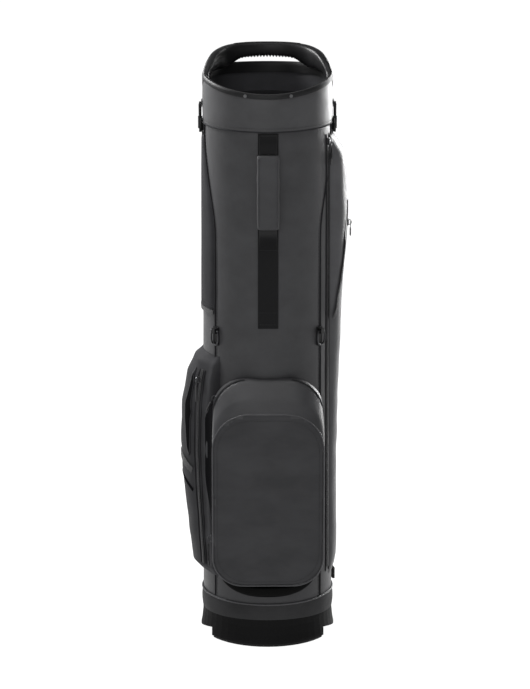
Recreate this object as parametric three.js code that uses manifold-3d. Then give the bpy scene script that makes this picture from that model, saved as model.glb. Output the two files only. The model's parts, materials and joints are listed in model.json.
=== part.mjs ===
// Golf stand bag with a folding two-leg stand.
// Millimetres, +Z up. The origin is on the floor, on the bag's own axis.
// The front (spine grip, ball pocket) faces -Y, the legs are at the back (+Y).
import * as THREE from "three";
import { mergeVertices } from "three/addons/utils/BufferGeometryUtils.js";
import Module from "manifold-3d";

const wasm = await Module();
wasm.setup();

// ---------- driving dimensions ----------
const GAP = 0.3; // between fixed neighbours
const PLAY = 0.4; // between moving neighbours
const ROUND = 48; // segments of the large round pieces
const SMALL = 20; // segments of pins and bores

const BODY_R = 97.5; // tube radius at the bottom
const BODY_TOP_R = BODY_R - 2.5; // tube radius under the collar
const BODY_WALL = 4;
const BODY_BOTTOM = 44;
const BODY_TOP = 786;
// Pocket and handle outlines are drawn for this tube and follow it when it changes.
const WIDE = BODY_R / 97.5;
const TALL = BODY_TOP / 786;

const COLLAR_R = BODY_TOP_R + 1;
const RIM_SIDE_Z = BODY_TOP + 72.6; // rim height at the sides
const RIM_RISE = 9; // the rim rises this much from the sides to the back
const RIM_SCOOP = 9.1; // and this much less, scooped at the front
const RIM_R = COLLAR_R - 0.5;
const RIM_WALL = 7;
const RIM_HEIGHT = 7;
const RIM_SKIRT = 9;

const HANDLE_TOP = RIM_SIDE_Z + 31.9;
const HANDLE_HEIGHT = 21;
const HANDLE_THICK = 15;
const HANDLE_REACH = 77 * WIDE; // centre line behind the axis

const DIVIDER = { bottom: BODY_TOP + 10, top: BODY_TOP + 32, bar: 5, hoop: 4, sheet: 0.9 };

const BASE_R = BODY_R + 3.5;
const CUFF_R = BODY_R + 1.6;
const CUFF_TOP = 67;
const TUB_TOP_FRONT = 42.5;
const TUB_TOP_SIDE = 38;
const TUB_FLOOR = 10; // floor thickness of the tub
const TUB_WALL = 3;
const TUB_UPSTAND = 84; // the tub's inner wall reaches up inside the body
const TREADS = [
  { half: BASE_R - 19, z: 0 },
  { half: BASE_R - 16.5, z: 4 },
]; // the sole steps up to the sides
const WING = { low: 5, slope: 0.22 }; // underside of the side wings: height at mid depth, rise forwards
const SOLE_R = BASE_R - 2;

const LEAN = THREE.MathUtils.degToRad(21.6); // the bag's lean on its legs
const FLAP_PIVOT = { y: 20, z: 4.5 };
const FLAP_HALF = BASE_R - 30;
const FLAP_BOTTOM = 0.6;
const FLAP_THICK = 7.8;
const FLAP_REACH = BASE_R - 7; // rear edge of the wide plate
const TONGUE_HALF = 26;
const ROD_FOOT = { x: 17, y: BASE_R + 6 }; // rod eyes on the flap's tongue
const FLAP_PIN_R = 2;

const LEG_SPLAY = THREE.MathUtils.degToRad(25);
const LEG_TUBE_R = 6.5;
const LEG_TUBE_WALL = 1.2;
const HUB_R = LEG_TUBE_R + 1.5;
const HUB_WIDTH = 2 * LEG_TUBE_R + 3;
const HUB_CLEAR = 0.22; // between the hub and the collar, in the leg's own plane
const LEG_SPREAD = 30; // half the distance between the two pivots
const LEG_PIVOT = {
  x: LEG_SPREAD,
  y: (COLLAR_R + HUB_R + HUB_CLEAR - LEG_SPREAD * Math.sin(LEG_SPLAY)) / Math.cos(LEG_SPLAY),
  z: BODY_TOP + 16,
};
const LEG_LENGTH = LEG_PIVOT.z - 62; // pivot to the tip of the foot
const LEG_OFFSET = 6; // tube axis behind the pivot
const LEG_PIN_R = 3;
const HUB_SOCKET = 46; // length of the hub's socket below the pivot
const FOOT_R = LEG_TUBE_R + 3;
const FOOT_HEIGHT = 34;
const LUG_THICK = 4;
const CRANK = 126; // pivot to the rod's top pin
const CRANK_ANGLE = THREE.MathUtils.degToRad(8);
const ROD_R = 2.5;
const ROD_SIDE = 14; // rod inboard of the leg's middle plane
const ROD_PIN_R = 2.2;
const SLOT_UP = 7; // free travel of the rod's pin up the clip
const SLOT_OUT = 1.4; // and away from the bag
const HOUSING = {
  half: LEG_PIVOT.x + 24, bottom: BODY_TOP - 10, top: BODY_TOP + 42, r: COLLAR_R + 2.6,
};

const WEBBING = { width: 30, bottom: 494 * TALL, top: BODY_TOP - 1, thick: 1.6 };
const GRIP = {
  width: WEBBING.width + 3, thick: 13, bottom: BODY_TOP - 142, top: BODY_TOP - 28, standoff: 15,
  strap: 2.4,
};
const LOWER_HANDLE = { r: 5, end: CUFF_TOP + 35, drop: 15 };

const BALL = {
  half: BODY_R - 14.5, bottom: CUFF_TOP + 34, top: 419 * TALL, corner: 55, toe: 45, edge: 1.5,
  front: BODY_R + 42.5, faceDrop: 48, slant: 19,
};
const ARC_Y = -BODY_R - 3; // the ball pocket's zip runs in this plane

const APPAREL = { bottom: CUFF_TOP + 27, top: BODY_TOP - 18, bulge: 118 * WIDE };
const LEFT = {
  bottom: CUFF_TOP + 34, top: 443 * TALL, bulge: 130 * WIDE, panel: 112 * WIDE, wall: 3,
  front: -38, back: 42,
};
// The pouch's mouth is a crescent cut in its front edge.
const MOUTH = { bottom: 284 * TALL, top: 408 * TALL, deep: 8 };
const SIDE_PANEL = { bottom: 506 * TALL, top: BODY_TOP - 18, thick: 2.4, from: 145, to: 217 };

const STAPLE = { x: COLLAR_R + 3.4, bottom: BODY_TOP - 15, top: BODY_TOP + 27, r: 1.6 };
const SWIVEL = { inner: 2.1, outer: 3.1, bottom: BODY_TOP - 11, height: 18, reach: 22 };
const ANCHOR = { z: 474 * TALL, angle: -38, out: 5 };
const LEG_LOCK = { angle: 12, z: CUFF_TOP + 14 };

// ---------- materials ----------
function finish(color, roughness, metalness = 0) {
  return () => new THREE.MeshStandardMaterial({ color, roughness, metalness });
}
const coatedFabric = finish(0x3b3b3d, 0.6);
const darkFabric = finish(0x2a2a2c, 0.7);
const blackFabric = finish(0x131213, 0.8);
const webbingFabric = finish(0x1c1b1d, 0.85);
const mouldedBlack = finish(0x161617, 0.45);
const soleRubber = finish(0x141414, 0.8);
const zipMetal = finish(0x2b2b2e, 0.35, 0.8);
const steel = finish(0x8b8d90, 0.3, 0.9);
const legAluminium = finish(0x2f3033, 0.4, 0.8);
const fibreglass = finish(0x4a4a48, 0.6);

// ---------- geometry helpers ----------
const AXES = {
  x: new THREE.Matrix4().makeBasis(
    new THREE.Vector3(0, 1, 0), new THREE.Vector3(0, 0, 1), new THREE.Vector3(1, 0, 0)),
  y: new THREE.Matrix4().makeBasis(
    new THREE.Vector3(1, 0, 0), new THREE.Vector3(0, 0, 1), new THREE.Vector3(0, -1, 0)),
  z: new THREE.Matrix4(),
};

function solid(geometry) {
  const bare = geometry.index ? geometry.toNonIndexed() : geometry.clone();
  bare.deleteAttribute("normal");
  bare.deleteAttribute("uv");
  const merged = mergeVertices(bare, 1e-4);
  const index = Array.from(merged.index.array);
  const kept = [];
  for (let i = 0; i < index.length; i += 3) {
    const [a, b, c] = index.slice(i, i + 3);
    if (a !== b && b !== c && c !== a) kept.push(a, b, c);
  }
  if (signedVolume(merged.attributes.position.array, kept) < 0) kept.reverse();
  return new wasm.Manifold(new wasm.Mesh({
    numProp: 3,
    vertProperties: new Float32Array(merged.attributes.position.array),
    triVerts: new Uint32Array(kept),
  }));
}

function signedVolume(p, index) {
  let volume = 0;
  for (let i = 0; i < index.length; i += 3) {
    const [a, b, c] = [index[i] * 3, index[i + 1] * 3, index[i + 2] * 3];
    volume += p[a] * (p[b + 1] * p[c + 2] - p[b + 2] * p[c + 1])
      - p[a + 1] * (p[b] * p[c + 2] - p[b + 2] * p[c])
      + p[a + 2] * (p[b] * p[c + 1] - p[b + 1] * p[c]);
  }
  return volume;
}

function geometryOf(manifold) {
  const mesh = manifold.getMesh();
  const geometry = new THREE.BufferGeometry();
  geometry.setAttribute("position", new THREE.BufferAttribute(mesh.vertProperties, 3));
  geometry.setIndex(new THREE.BufferAttribute(mesh.triVerts, 1));
  geometry.computeVertexNormals();
  return geometry;
}

// A flat outline pushed along one axis from a to b. Along x the outline is in
// (y, z), along y in (x, z) and along z in (x, y).
function prism(points, axis, a, b) {
  const shape = new THREE.Shape(points.map(([u, v]) => new THREE.Vector2(u, v)));
  const geometry = new THREE.ExtrudeGeometry(shape, {
    depth: b - a, bevelEnabled: false, curveSegments: 8,
  });
  geometry.applyMatrix4(AXES[axis]);
  const shift = { x: [a, 0, 0], y: [0, b, 0], z: [0, 0, a] }[axis];
  geometry.translate(...shift);
  return solid(geometry);
}

function box(x0, x1, y0, y1, z0, z1) {
  const geometry = new THREE.BoxGeometry(x1 - x0, y1 - y0, z1 - z0);
  geometry.translate((x0 + x1) / 2, (y0 + y1) / 2, (z0 + z1) / 2);
  return solid(geometry);
}

// A closed (radius, height) profile turned about Z.
function turned(profile, segments = ROUND) {
  const points = [...profile, profile[0]].map(([r, z]) => new THREE.Vector2(r, z));
  const geometry = new THREE.LatheGeometry(points, segments);
  geometry.rotateX(Math.PI / 2);
  return solid(geometry);
}

function ring(inner, outer, z0, z1, segments = ROUND) {
  return turned([[inner, z0], [outer, z0], [outer, z1], [inner, z1]], segments);
}

function drum(radius, z0, z1, segments = ROUND) {
  const geometry = new THREE.CylinderGeometry(radius, radius, z1 - z0, segments);
  geometry.rotateX(Math.PI / 2);
  geometry.translate(0, 0, (z0 + z1) / 2);
  return solid(geometry);
}

// A round bar along X, centred on (y, z).
function barX(radius, x0, x1, y, z, segments = SMALL) {
  const geometry = new THREE.CylinderGeometry(radius, radius, x1 - x0, segments);
  geometry.rotateZ(Math.PI / 2);
  geometry.translate((x0 + x1) / 2, y, z);
  return solid(geometry);
}

// The same on the X axis itself, with its ends in either order.
function barBetween(radius, a, b, segments = SMALL) {
  return barX(radius, Math.min(a, b), Math.max(a, b), 0, 0, segments);
}

// Equal rings of points joined into one closed body.
function loft(rings) {
  const n = rings[0].length;
  const positions = rings.flat().flatMap((p) => [p.x, p.y, p.z]);
  const index = [];
  for (let k = 0; k + 1 < rings.length; k += 1) {
    for (let i = 0; i < n; i += 1) {
      const j = (i + 1) % n;
      const [a, b, c, d] = [k * n + i, k * n + j, (k + 1) * n + i, (k + 1) * n + j];
      index.push(a, b, d, a, d, c);
    }
  }
  for (const [k, flip] of [[0, true], [rings.length - 1, false]]) {
    const centre = rings[k].reduce((s, p) => s.add(p), new THREE.Vector3()).divideScalar(n);
    positions.push(centre.x, centre.y, centre.z);
    const hub = positions.length / 3 - 1;
    for (let i = 0; i < n; i += 1) {
      const j = (i + 1) % n;
      if (flip) index.push(hub, k * n + j, k * n + i);
      else index.push(hub, k * n + i, k * n + j);
    }
  }
  const geometry = new THREE.BufferGeometry();
  geometry.setAttribute("position", new THREE.Float32BufferAttribute(positions, 3));
  geometry.setIndex(index);
  return solid(geometry);
}

// A round wire along a curve.
function wire(curve, radius, steps, sides = 8) {
  const section = new THREE.Shape();
  section.absarc(0, 0, radius, 0, Math.PI * 2);
  const points = section.getSpacedPoints(sides).slice(0, sides);
  return solid(new THREE.ExtrudeGeometry(new THREE.Shape(points), {
    steps, extrudePath: curve, bevelEnabled: false,
  }));
}

function matrixOf({ x = 0, y = 0, z = 0 }, turnZ = 0) {
  return new THREE.Matrix4().makeRotationZ(turnZ).setPosition(x, y, z);
}

function moved(manifold, matrix) {
  return manifold.transform(matrix.elements);
}

const bag = new THREE.Group();

function add(name, manifold, material, parent = bag) {
  const mesh = new THREE.Mesh(geometryOf(manifold), material());
  mesh.name = name;
  parent.add(mesh);
  return mesh;
}

const SIDES = [{ side: "left", s: -1 }, { side: "right", s: 1 }];

// ---------- body ----------
function bodyRadius(z) {
  const t = (z - BODY_BOTTOM) / (BODY_TOP - BODY_BOTTOM);
  return THREE.MathUtils.lerp(BODY_R, BODY_TOP_R, t);
}

function bodyProfile(extra, bottom, top) {
  return [
    [0, bottom], [bodyRadius(bottom) + extra, bottom], [bodyRadius(top) + extra, top], [0, top],
  ];
}

// The solid cone that pieces on the body are cut by.
function bodyCone(extra) {
  return turned(bodyProfile(extra, 0, RIM_SIDE_Z + 60));
}

function buildBody() {
  const [low, high] = [bodyRadius(BODY_BOTTOM), bodyRadius(BODY_TOP)];
  const shell = turned([
    [low - BODY_WALL, BODY_BOTTOM], [low, BODY_BOTTOM], [high, BODY_TOP],
    [high - BODY_WALL, BODY_TOP],
  ]);
  add("body_shell", shell, coatedFabric);
}

// The rim's edge, seen from the side: z over y.
function rimZ(y) {
  const t = y / COLLAR_R;
  return RIM_SIDE_Z + RIM_RISE * t - RIM_SCOOP * t * t;
}

function underRim(drop) {
  const half = BASE_R + 9;
  const steps = 16;
  const floor = BODY_TOP - 86;
  const outline = [[half, floor], [-half, floor]];
  for (let i = 0; i <= steps; i += 1) {
    const y = -half + (2 * half * i) / steps;
    outline.push([y, rimZ(y) - drop]);
  }
  outline.reverse();
  return prism(outline, "x", -half, half);
}

function buildCollar() {
  const wall = COLLAR_R - (BODY_TOP_R - BODY_WALL);
  const tube = ring(COLLAR_R - wall, COLLAR_R, BODY_TOP + GAP, HANDLE_TOP + 10);
  add("collar", tube.intersect(underRim(RIM_HEIGHT + GAP)), coatedFabric);
}

function handleSection(centre, radial, binormal, thick, height) {
  const points = [];
  const count = 10;
  for (let i = 0; i < count; i += 1) {
    const a = (Math.PI * 2 * (i + 0.5)) / count;
    const [c, s] = [Math.cos(a), Math.sin(a)];
    const u = (Math.sign(c) * Math.abs(c) ** 0.6 * thick) / 2;
    const v = (Math.sign(s) * Math.abs(s) ** 0.6 * height) / 2;
    points.push(centre.clone().addScaledVector(radial, u).addScaledVector(binormal, v));
  }
  return points;
}

// The grab handle arches across the back of the rim, from ear to ear.
function rearHandle() {
  const middle = HANDLE_TOP - HANDLE_HEIGHT / 2;
  const half = [
    [-90.5, 4, middle - 33], [-88, 14, middle - 19], [-80, 36, middle - 8],
    [-62, 57, middle - 3.5], [-34, 71, middle - 0.5],
  ].map(([x, y, z]) => [x * WIDE, y * WIDE, z]);
  const points = [
    ...half, [0, HANDLE_REACH, middle], ...half.map(([x, y, z]) => [-x, y, z]).reverse(),
  ].map((p) => new THREE.Vector3(...p));
  const curve = new THREE.CatmullRomCurve3(points);
  const rings = [];
  const steps = 22;
  for (let i = 0; i <= steps; i += 1) {
    const t = i / steps;
    const centre = curve.getPoint(t);
    const tangent = curve.getTangent(t);
    const radial = new THREE.Vector3(centre.x, centre.y, 0).normalize();
    const binormal = new THREE.Vector3().crossVectors(tangent, radial).normalize();
    const thick = HANDLE_THICK - 7 * Math.abs(2 * t - 1) ** 3;
    rings.push(handleSection(centre, radial, binormal, thick, HANDLE_HEIGHT));
  }
  return loft(rings);
}

function screwAngle(s) {
  return -Math.PI / 2 + s * Math.asin(33 / RIM_R);
}

function screwMatrix(s) {
  const a = screwAngle(s);
  const [x, y] = [Math.cos(a) * RIM_R, Math.sin(a) * RIM_R];
  return matrixOf({ x, y, z: rimZ(y) - RIM_HEIGHT / 2 }, a);
}

function buildRim() {
  const inner = RIM_R - RIM_WALL;
  const skirtOuter = BODY_TOP_R - BODY_WALL - GAP;
  const [low, high] = [BODY_TOP - 26, HANDLE_TOP + 10];
  const band = ring(inner, RIM_R, low, high).intersect(underRim(0))
    .subtract(underRim(RIM_HEIGHT));
  const skirt = ring(inner, skirtOuter, low, high).intersect(underRim(1))
    .subtract(underRim(RIM_HEIGHT + RIM_SKIRT));
  let rim = band.add(skirt).add(rearHandle().subtract(drumBelowRim()));
  for (const { side, s } of SIDES) {
    rim = rim.subtract(moved(barX(1.9, -4, 3, 0, 0, 12), screwMatrix(s)));
    const screw = barX(1.5, -3.5, 0.5, 0, 0, 12).add(barX(2.6, GAP, 1.3, 0, 0, 12));
    add(`rim_screw_${side}`, moved(screw, screwMatrix(s)), steel);
  }
  add("top_rim", rim, mouldedBlack);
}

// The handle's feet end inside the rim's own band.
function drumBelowRim() {
  return underRim(RIM_HEIGHT - 1);
}

function buildDivider() {
  const inner = BODY_TOP_R - BODY_WALL - GAP;
  const { bottom, top, bar, hoop, sheet } = DIVIDER;
  const frame = ring(inner - hoop - 1, inner - 1, bottom, top)
    .add(box(-inner + 3, inner - 3, -bar, bar, bottom, top))
    .add(box(-bar, bar, -inner + 3, inner - 3, bottom, top));
  add("divider_top", frame, darkFabric);
  const reach = inner - hoop;
  const webs = box(-reach, reach, -sheet, sheet, TUB_UPSTAND + 2, bottom - GAP)
    .add(box(-sheet, sheet, -reach, reach, TUB_UPSTAND + 2, bottom - GAP));
  add("divider_webs", webs, blackFabric);
  for (const { side, s } of SIDES) {
    const rod = drum(2.6, TUB_UPSTAND + 2, bottom - 3, 10);
    const a = THREE.MathUtils.degToRad(s > 0 ? 45 : 135);
    const r = bodyRadius(BODY_TOP) - BODY_WALL - 3.4;
    add(`stay_${side}`, rod.translate([Math.cos(a) * r, Math.sin(a) * r, 0]), fibreglass);
  }
}

// ---------- base ----------
// The tub's top edge is high at the front and back and low at the sides.
function tubTop(raise) {
  const half = BASE_R + 5;
  const steps = 14;
  const outline = [[half, -5], [-half, -5]];
  for (let i = 0; i <= steps; i += 1) {
    const x = -half + (2 * half * i) / steps;
    const dip = (TUB_TOP_FRONT - TUB_TOP_SIDE) * (x / BASE_R) ** 2;
    outline.push([x, TUB_TOP_FRONT - dip + raise]);
  }
  return prism(outline.reverse(), "y", -half, half);
}

// The sloping roof over the foot flap, as the height at a distance behind the pivot.
const ROOF_SLOPE = Math.tan(LEAN + THREE.MathUtils.degToRad(1));
const ROOF_START = FLAP_PIVOT.z + (FLAP_THICK - FLAP_PIVOT.z + FLAP_BOTTOM + 0.9) / Math.cos(LEAN);

function roofZ(y) {
  return ROOF_START + (y - FLAP_PIVOT.y) * ROOF_SLOPE;
}

function flapWell(half) {
  const front = FLAP_PIVOT.y - 6;
  const back = BASE_R + 20;
  return prism([
    [front, -1], [back, -1], [back, roofZ(back)], [FLAP_PIVOT.y + 4, roofZ(FLAP_PIVOT.y + 4)],
    [FLAP_PIVOT.y - 3, ROOF_START + 1], [front, ROOF_START - 1],
  ], "x", -half, half);
}

function buildTub() {
  // The wall is narrow under the cuff and flares out to a sharp edge just above the sole.
  const neck = BODY_R + 0.5;
  const outer = turned([[0, 0], [SOLE_R - 2, 0], [SOLE_R, 2], [BASE_R, 5], [BASE_R, 9],
    [THREE.MathUtils.lerp(BASE_R, neck, 0.55), 18], [neck, 31], [neck, CUFF_TOP - 7], [0, CUFF_TOP - 7]])
    .intersect(tubTop(0));
  const upstandR = BODY_R - BODY_WALL - GAP;
  let tub = outer.add(drum(upstandR, 5, TUB_UPSTAND));
  for (const { s } of SIDES) {
    const [step, wing] = TREADS.map(({ half }) => [s * half, s * (BASE_R + 5)].sort((a, b) => a - b));
    const reach = BASE_R + 5;
    tub = tub.subtract(box(...step, -reach, reach, -1, TREADS[1].z));
    tub = tub.subtract(prism([[-reach, -1], [reach, -1], [reach, WING.low], [0, WING.low],
      [-reach, WING.low + WING.slope * reach]], "x", ...wing));
  }
  // Behind the flap's pivot nothing may reach below the leaning ground.
  const y0 = FLAP_PIVOT.y + 7;
  const back = BASE_R + 9;
  tub = tub.subtract(prism([[y0, -1], [back, -1], [back, roofZ(back)], [y0, roofZ(y0)]],
    "x", -back, back));
  tub = tub.subtract(flapWell(FLAP_HALF + 1));
  // The club well inside.
  const well = prism([
    [-BASE_R, TUB_FLOOR], [FLAP_PIVOT.y - 6, TUB_FLOOR + 4], [BASE_R, roofZ(BASE_R) + TUB_FLOOR - 5],
    [BASE_R, 200], [-BASE_R, 200],
  ], "x", -BASE_R, BASE_R).intersect(drum(upstandR - TUB_WALL, 0, 190));
  tub = tub.subtract(well);
  // A flat on the back leaves room for the push rods.
  tub = tub.subtract(box(-ROD_FOOT.x - 7, ROD_FOOT.x + 7, BASE_R - 4, BASE_R + 9, 5,
    CUFF_TOP - 7));
  tub = tub.subtract(barX(FLAP_PIN_R + GAP, -FLAP_HALF - 7, FLAP_HALF + 7, FLAP_PIVOT.y,
    FLAP_PIVOT.z));
  add("base_tub", tub, soleRubber);
  add("flap_pin", barX(FLAP_PIN_R, -FLAP_HALF - 6, FLAP_HALF + 6, FLAP_PIVOT.y, FLAP_PIVOT.z),
    steel);
}

function buildCuff() {
  const inner = BODY_R + GAP;
  const cuff = ring(inner, CUFF_R, 5, CUFF_TOP).subtract(tubTop(GAP));
  add("base_cuff", cuff, coatedFabric);
}

function buildFlap() {
  const top = FLAP_BOTTOM + FLAP_THICK;
  const { y, z } = FLAP_PIVOT;
  const plate = prism([
    [y, FLAP_BOTTOM], [FLAP_REACH, FLAP_BOTTOM], [FLAP_REACH, top], [y, top],
  ], "x", -FLAP_HALF, FLAP_HALF).intersect(drum(SOLE_R - 2, -1, 30));
  const tongue = box(-TONGUE_HALF, TONGUE_HALF, FLAP_REACH - 8, ROD_FOOT.y + 5,
    FLAP_BOTTOM, top);
  let flap = plate.add(tongue).add(barX(z - FLAP_BOTTOM, -FLAP_HALF, FLAP_HALF, y, z));
  for (const { s } of SIDES) {
    const x = s * ROD_FOOT.x;
    flap = flap.subtract(box(x - 4, x + 4, ROD_FOOT.y - 5.5, ROD_FOOT.y + 9, -1, 30));
    flap = flap.add(barX(1.6, x - 5, x + 5, ROD_FOOT.y, z, 12));
  }
  flap = flap.subtract(barX(FLAP_PIN_R + PLAY, -FLAP_HALF - 1, FLAP_HALF + 1, y, z));
  add("foot_flap", flap, soleRubber);
}

// ---------- stand ----------
function legMatrix(s) {
  return matrixOf({ x: s * LEG_PIVOT.x, y: LEG_PIVOT.y, z: LEG_PIVOT.z }, -s * LEG_SPLAY);
}

function buildHousing() {
  const { half, bottom, top, r } = HOUSING;
  let housing = ring(COLLAR_R + GAP, r, bottom, top)
    .intersect(box(-half, half, 40 * WIDE, BASE_R + 20, bottom, top))
    .subtract(bodyCone(GAP));
  for (const { s } of SIDES) {
    const frame = legMatrix(s);
    const reach = HUB_R + 4;
    const inner = HUB_WIDTH / 2 + PLAY;
    for (const t of [-1, 1]) {
      const x0 = Math.min(t * inner, t * (inner + LUG_THICK));
      const lug = box(x0, x0 + LUG_THICK, -reach, 0, -11, 11)
        .add(barX(HUB_R, x0, x0 + LUG_THICK, 0, 0));
      housing = housing.add(moved(lug, frame).subtract(drum(COLLAR_R + GAP, bottom - 9, top + 9)));
    }
    housing = housing.subtract(moved(barX(HUB_R + 1.2, -inner, inner, 0, 0), frame));
    housing = housing.subtract(moved(barX(LEG_PIN_R + GAP, -20, 20, 0, 0), frame));
  }
  add("leg_housing", housing, mouldedBlack);
}

function springCurve(x0, x1, radius, turns) {
  const points = [];
  const count = turns * 10;
  for (let i = 0; i <= count; i += 1) {
    const a = (Math.PI * 2 * turns * i) / count;
    const x = THREE.MathUtils.lerp(x0, x1, i / count);
    points.push(new THREE.Vector3(x, radius * Math.cos(a), radius * Math.sin(a)));
  }
  return new THREE.CatmullRomCurve3(points);
}

function buildLeg({ side, s }) {
  const frame = legMatrix(s);
  const lugOut = HUB_WIDTH / 2 + PLAY + LUG_THICK;
  const outer = lugOut + 9;
  // The pin's head is inboard; the return spring sits on its outboard end.
  const headAt = lugOut + GAP;
  const shank = barBetween(LEG_PIN_R, -s * (headAt + 1), s * outer);
  const head = barBetween(LEG_PIN_R + 1.6, -s * headAt, -s * (headAt + 2));
  add(`leg_pin_${side}`, moved(shank.add(head), frame), steel);
  const spring = wire(springCurve(s * (lugOut + 1.6), s * (outer - 1), LEG_PIN_R + 1.5, 4), 0.8, 32, 5);
  add(`leg_spring_${side}`, moved(spring, frame), steel);

  const half = HUB_WIDTH / 2;
  const socketR = LEG_TUBE_R + 2.2;
  let hub = barX(HUB_R, -half, half, 0, 0)
    .add(drum(socketR, -HUB_SOCKET, -2, SMALL).translate([0, LEG_OFFSET, 0])
      .intersect(box(-half, half, -30, 30, -HUB_SOCKET - 1, 1)))
    .subtract(barX(LEG_PIN_R + PLAY, -half - 1, half + 1, 0, 0))
    .subtract(drum(LEG_TUBE_R + GAP, -HUB_SOCKET - 1, -12, SMALL).translate([0, LEG_OFFSET, 0]));
  add(`leg_hub_${side}`, moved(hub, frame), mouldedBlack);

  const tubeTop = -12 - GAP;
  const tubeBottom = -LEG_LENGTH + 6;
  const tube = ring(LEG_TUBE_R - LEG_TUBE_WALL, LEG_TUBE_R, tubeBottom, tubeTop, SMALL)
    .translate([0, LEG_OFFSET, 0]);
  add(`leg_tube_${side}`, moved(tube, frame), legAluminium);

  const foot = turned([
    [0, -LEG_LENGTH], [FOOT_R - 4, -LEG_LENGTH], [FOOT_R, -LEG_LENGTH + 4],
    [FOOT_R, -LEG_LENGTH + FOOT_HEIGHT - 6], [LEG_TUBE_R + 1.4, -LEG_LENGTH + FOOT_HEIGHT],
    [0, -LEG_LENGTH + FOOT_HEIGHT],
  ], SMALL)
    .subtract(drum(LEG_TUBE_R + GAP, tubeBottom - GAP, 0, SMALL))
    .translate([0, LEG_OFFSET, 0]);
  add(`leg_foot_${side}`, moved(foot, frame), soleRubber);
  buildClip({ side, s }, frame);
}

function crankPoint() {
  return { y: CRANK * Math.sin(CRANK_ANGLE), z: -CRANK * Math.cos(CRANK_ANGLE) };
}

// The clip on the leg whose slot holds the rod's top pin.
function buildClip({ side, s }, frame) {
  const { y, z } = crankPoint();
  const halfLug = 2.5;
  const slotR = ROD_PIN_R + PLAY;
  let clip = drum(LEG_TUBE_R + 2.4, z - 12, z + 16, SMALL).translate([0, LEG_OFFSET, 0])
    .add(box(-halfLug, halfLug, LEG_OFFSET, y + SLOT_OUT + slotR + 3,
      z - slotR - 5, z + SLOT_UP + slotR + 3))
    .subtract(drum(LEG_TUBE_R + GAP, z - 20, z + 20, SMALL).translate([0, LEG_OFFSET, 0]))
    .subtract(box(-9, 9, y - slotR, y + slotR + SLOT_OUT, z - slotR, z + SLOT_UP + slotR));
  add(`leg_clip_${side}`, moved(clip, frame), mouldedBlack);
}

function buildRod({ side, s }) {
  const frame = legMatrix(s);
  const { y, z } = crankPoint();
  const pinLength = ROD_SIDE + 4.5;
  const top = new THREE.Vector3(-s * ROD_SIDE, y, z).applyMatrix4(frame);
  const foot = new THREE.Vector3(s * ROD_FOOT.x, ROD_FOOT.y, FLAP_PIVOT.z);
  const along = top.clone().sub(foot).normalize();
  const start = foot.clone().addScaledVector(along, 3.2);
  const bar = wire(new THREE.LineCurve3(start, top.clone().addScaledVector(along, 2.2)), ROD_R, 1, 10);
  const pin = moved(barBetween(ROD_PIN_R, 0, s * pinLength, 12), matrixOf(top, -s * LEG_SPLAY));
  const eye = barX(3.8, foot.x - 3.4, foot.x + 3.4, foot.y, foot.z, 16);
  const rod = bar.add(pin).add(eye)
    .subtract(barX(1.6 + PLAY, foot.x - 9, foot.x + 9, foot.y, foot.z, 12));
  add(`push_rod_${side}`, rod, steel);
}

// ---------- spine ----------
function buildSpine() {
  const half = WEBBING.width / 2;
  const flat = (z) => -bodyRadius(z) - GAP;
  const { bottom, top, thick } = WEBBING;
  const strip = prism([
    [flat(bottom), bottom], [flat(bottom) - thick, bottom],
    [flat(top) - thick, top], [flat(top), top],
  ], "x", -half, half);
  add("spine_webbing", strip, webbingFabric);

  // The grip strap arches over the finger gap.
  const t = GRIP.strap;
  const gripHalf = GRIP.width / 2;
  const near = (z) => flat(z) - thick - GAP;
  const rise = GRIP.standoff;
  const [z0, z1, z2, z3] = [GRIP.bottom - 14, GRIP.bottom + 4, GRIP.top - 4, GRIP.top + 14];
  const inner = [
    [near(z0 - 12), z0 - 12], [near(z0), z0], [near(z1) - rise, z1 + 2],
    [near(z2) - rise, z2 - 2], [near(z3), z3], [near(z3 + 10), z3 + 10],
  ];
  const outline = [...inner, ...inner.map(([y, z]) => [y - t, z]).reverse()];
  add("grip_strap", prism(outline, "x", -gripHalf + 3.5, gripHalf - 3.5), webbingFabric);

  const back = near(GRIP.top) - rise;
  const lean = near(GRIP.bottom) - near(GRIP.top);
  const block = box(-gripHalf, gripHalf, back - GRIP.thick + 4, back + 4, GRIP.bottom + 8, GRIP.top - 8);
  const hole = prism([
    [near(z1) - rise + 0.5, GRIP.bottom], [near(z2) - rise + 0.5, GRIP.top],
    [near(z2) - rise - t - 0.5, GRIP.top], [near(z1) - rise - t - 0.5, GRIP.bottom],
  ], "x", -gripHalf + 3, gripHalf - 3);
  add("spine_grip", block.translate([0, lean / 2, 0]).subtract(hole), coatedFabric);
}

function buildLowerHandle() {
  const { r, end, drop } = LOWER_HANDLE;
  const half = [
    [-64, -76.5, end], [-60, -88, end - 2.5], [-34, -107, end - 11.5],
  ];
  const curve = new THREE.CatmullRomCurve3([
    ...half, [0, -112, end - drop], ...half.map(([x, y, z]) => [-x, y, z]).reverse(),
  ].map(([x, y, z]) => new THREE.Vector3(x * WIDE, y * WIDE, z)));
  const handle = wire(curve, r, 16, 8);
  add("lower_handle", handle.subtract(bodyCone(GAP)), mouldedBlack);
}

// ---------- pockets ----------
// A round-cornered outline in (x, z), wide at the top corners.
function pocketOutline(half, bottom, top, corner, toe) {
  const points = [];
  const arc = (cx, cz, r, from, n) => {
    for (let i = 0; i <= n; i += 1) {
      const a = from + (Math.PI / 2) * (i / n);
      points.push([cx + r * Math.cos(a), cz + r * Math.sin(a)]);
    }
  };
  arc(half - corner, top - corner, corner, 0, 6);
  arc(-half + corner, top - corner, corner, Math.PI / 2, 6);
  arc(-half + toe, bottom + toe, toe, Math.PI, 5);
  arc(half - toe, bottom + toe, toe, -Math.PI / 2, 5);
  return points;
}

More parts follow.
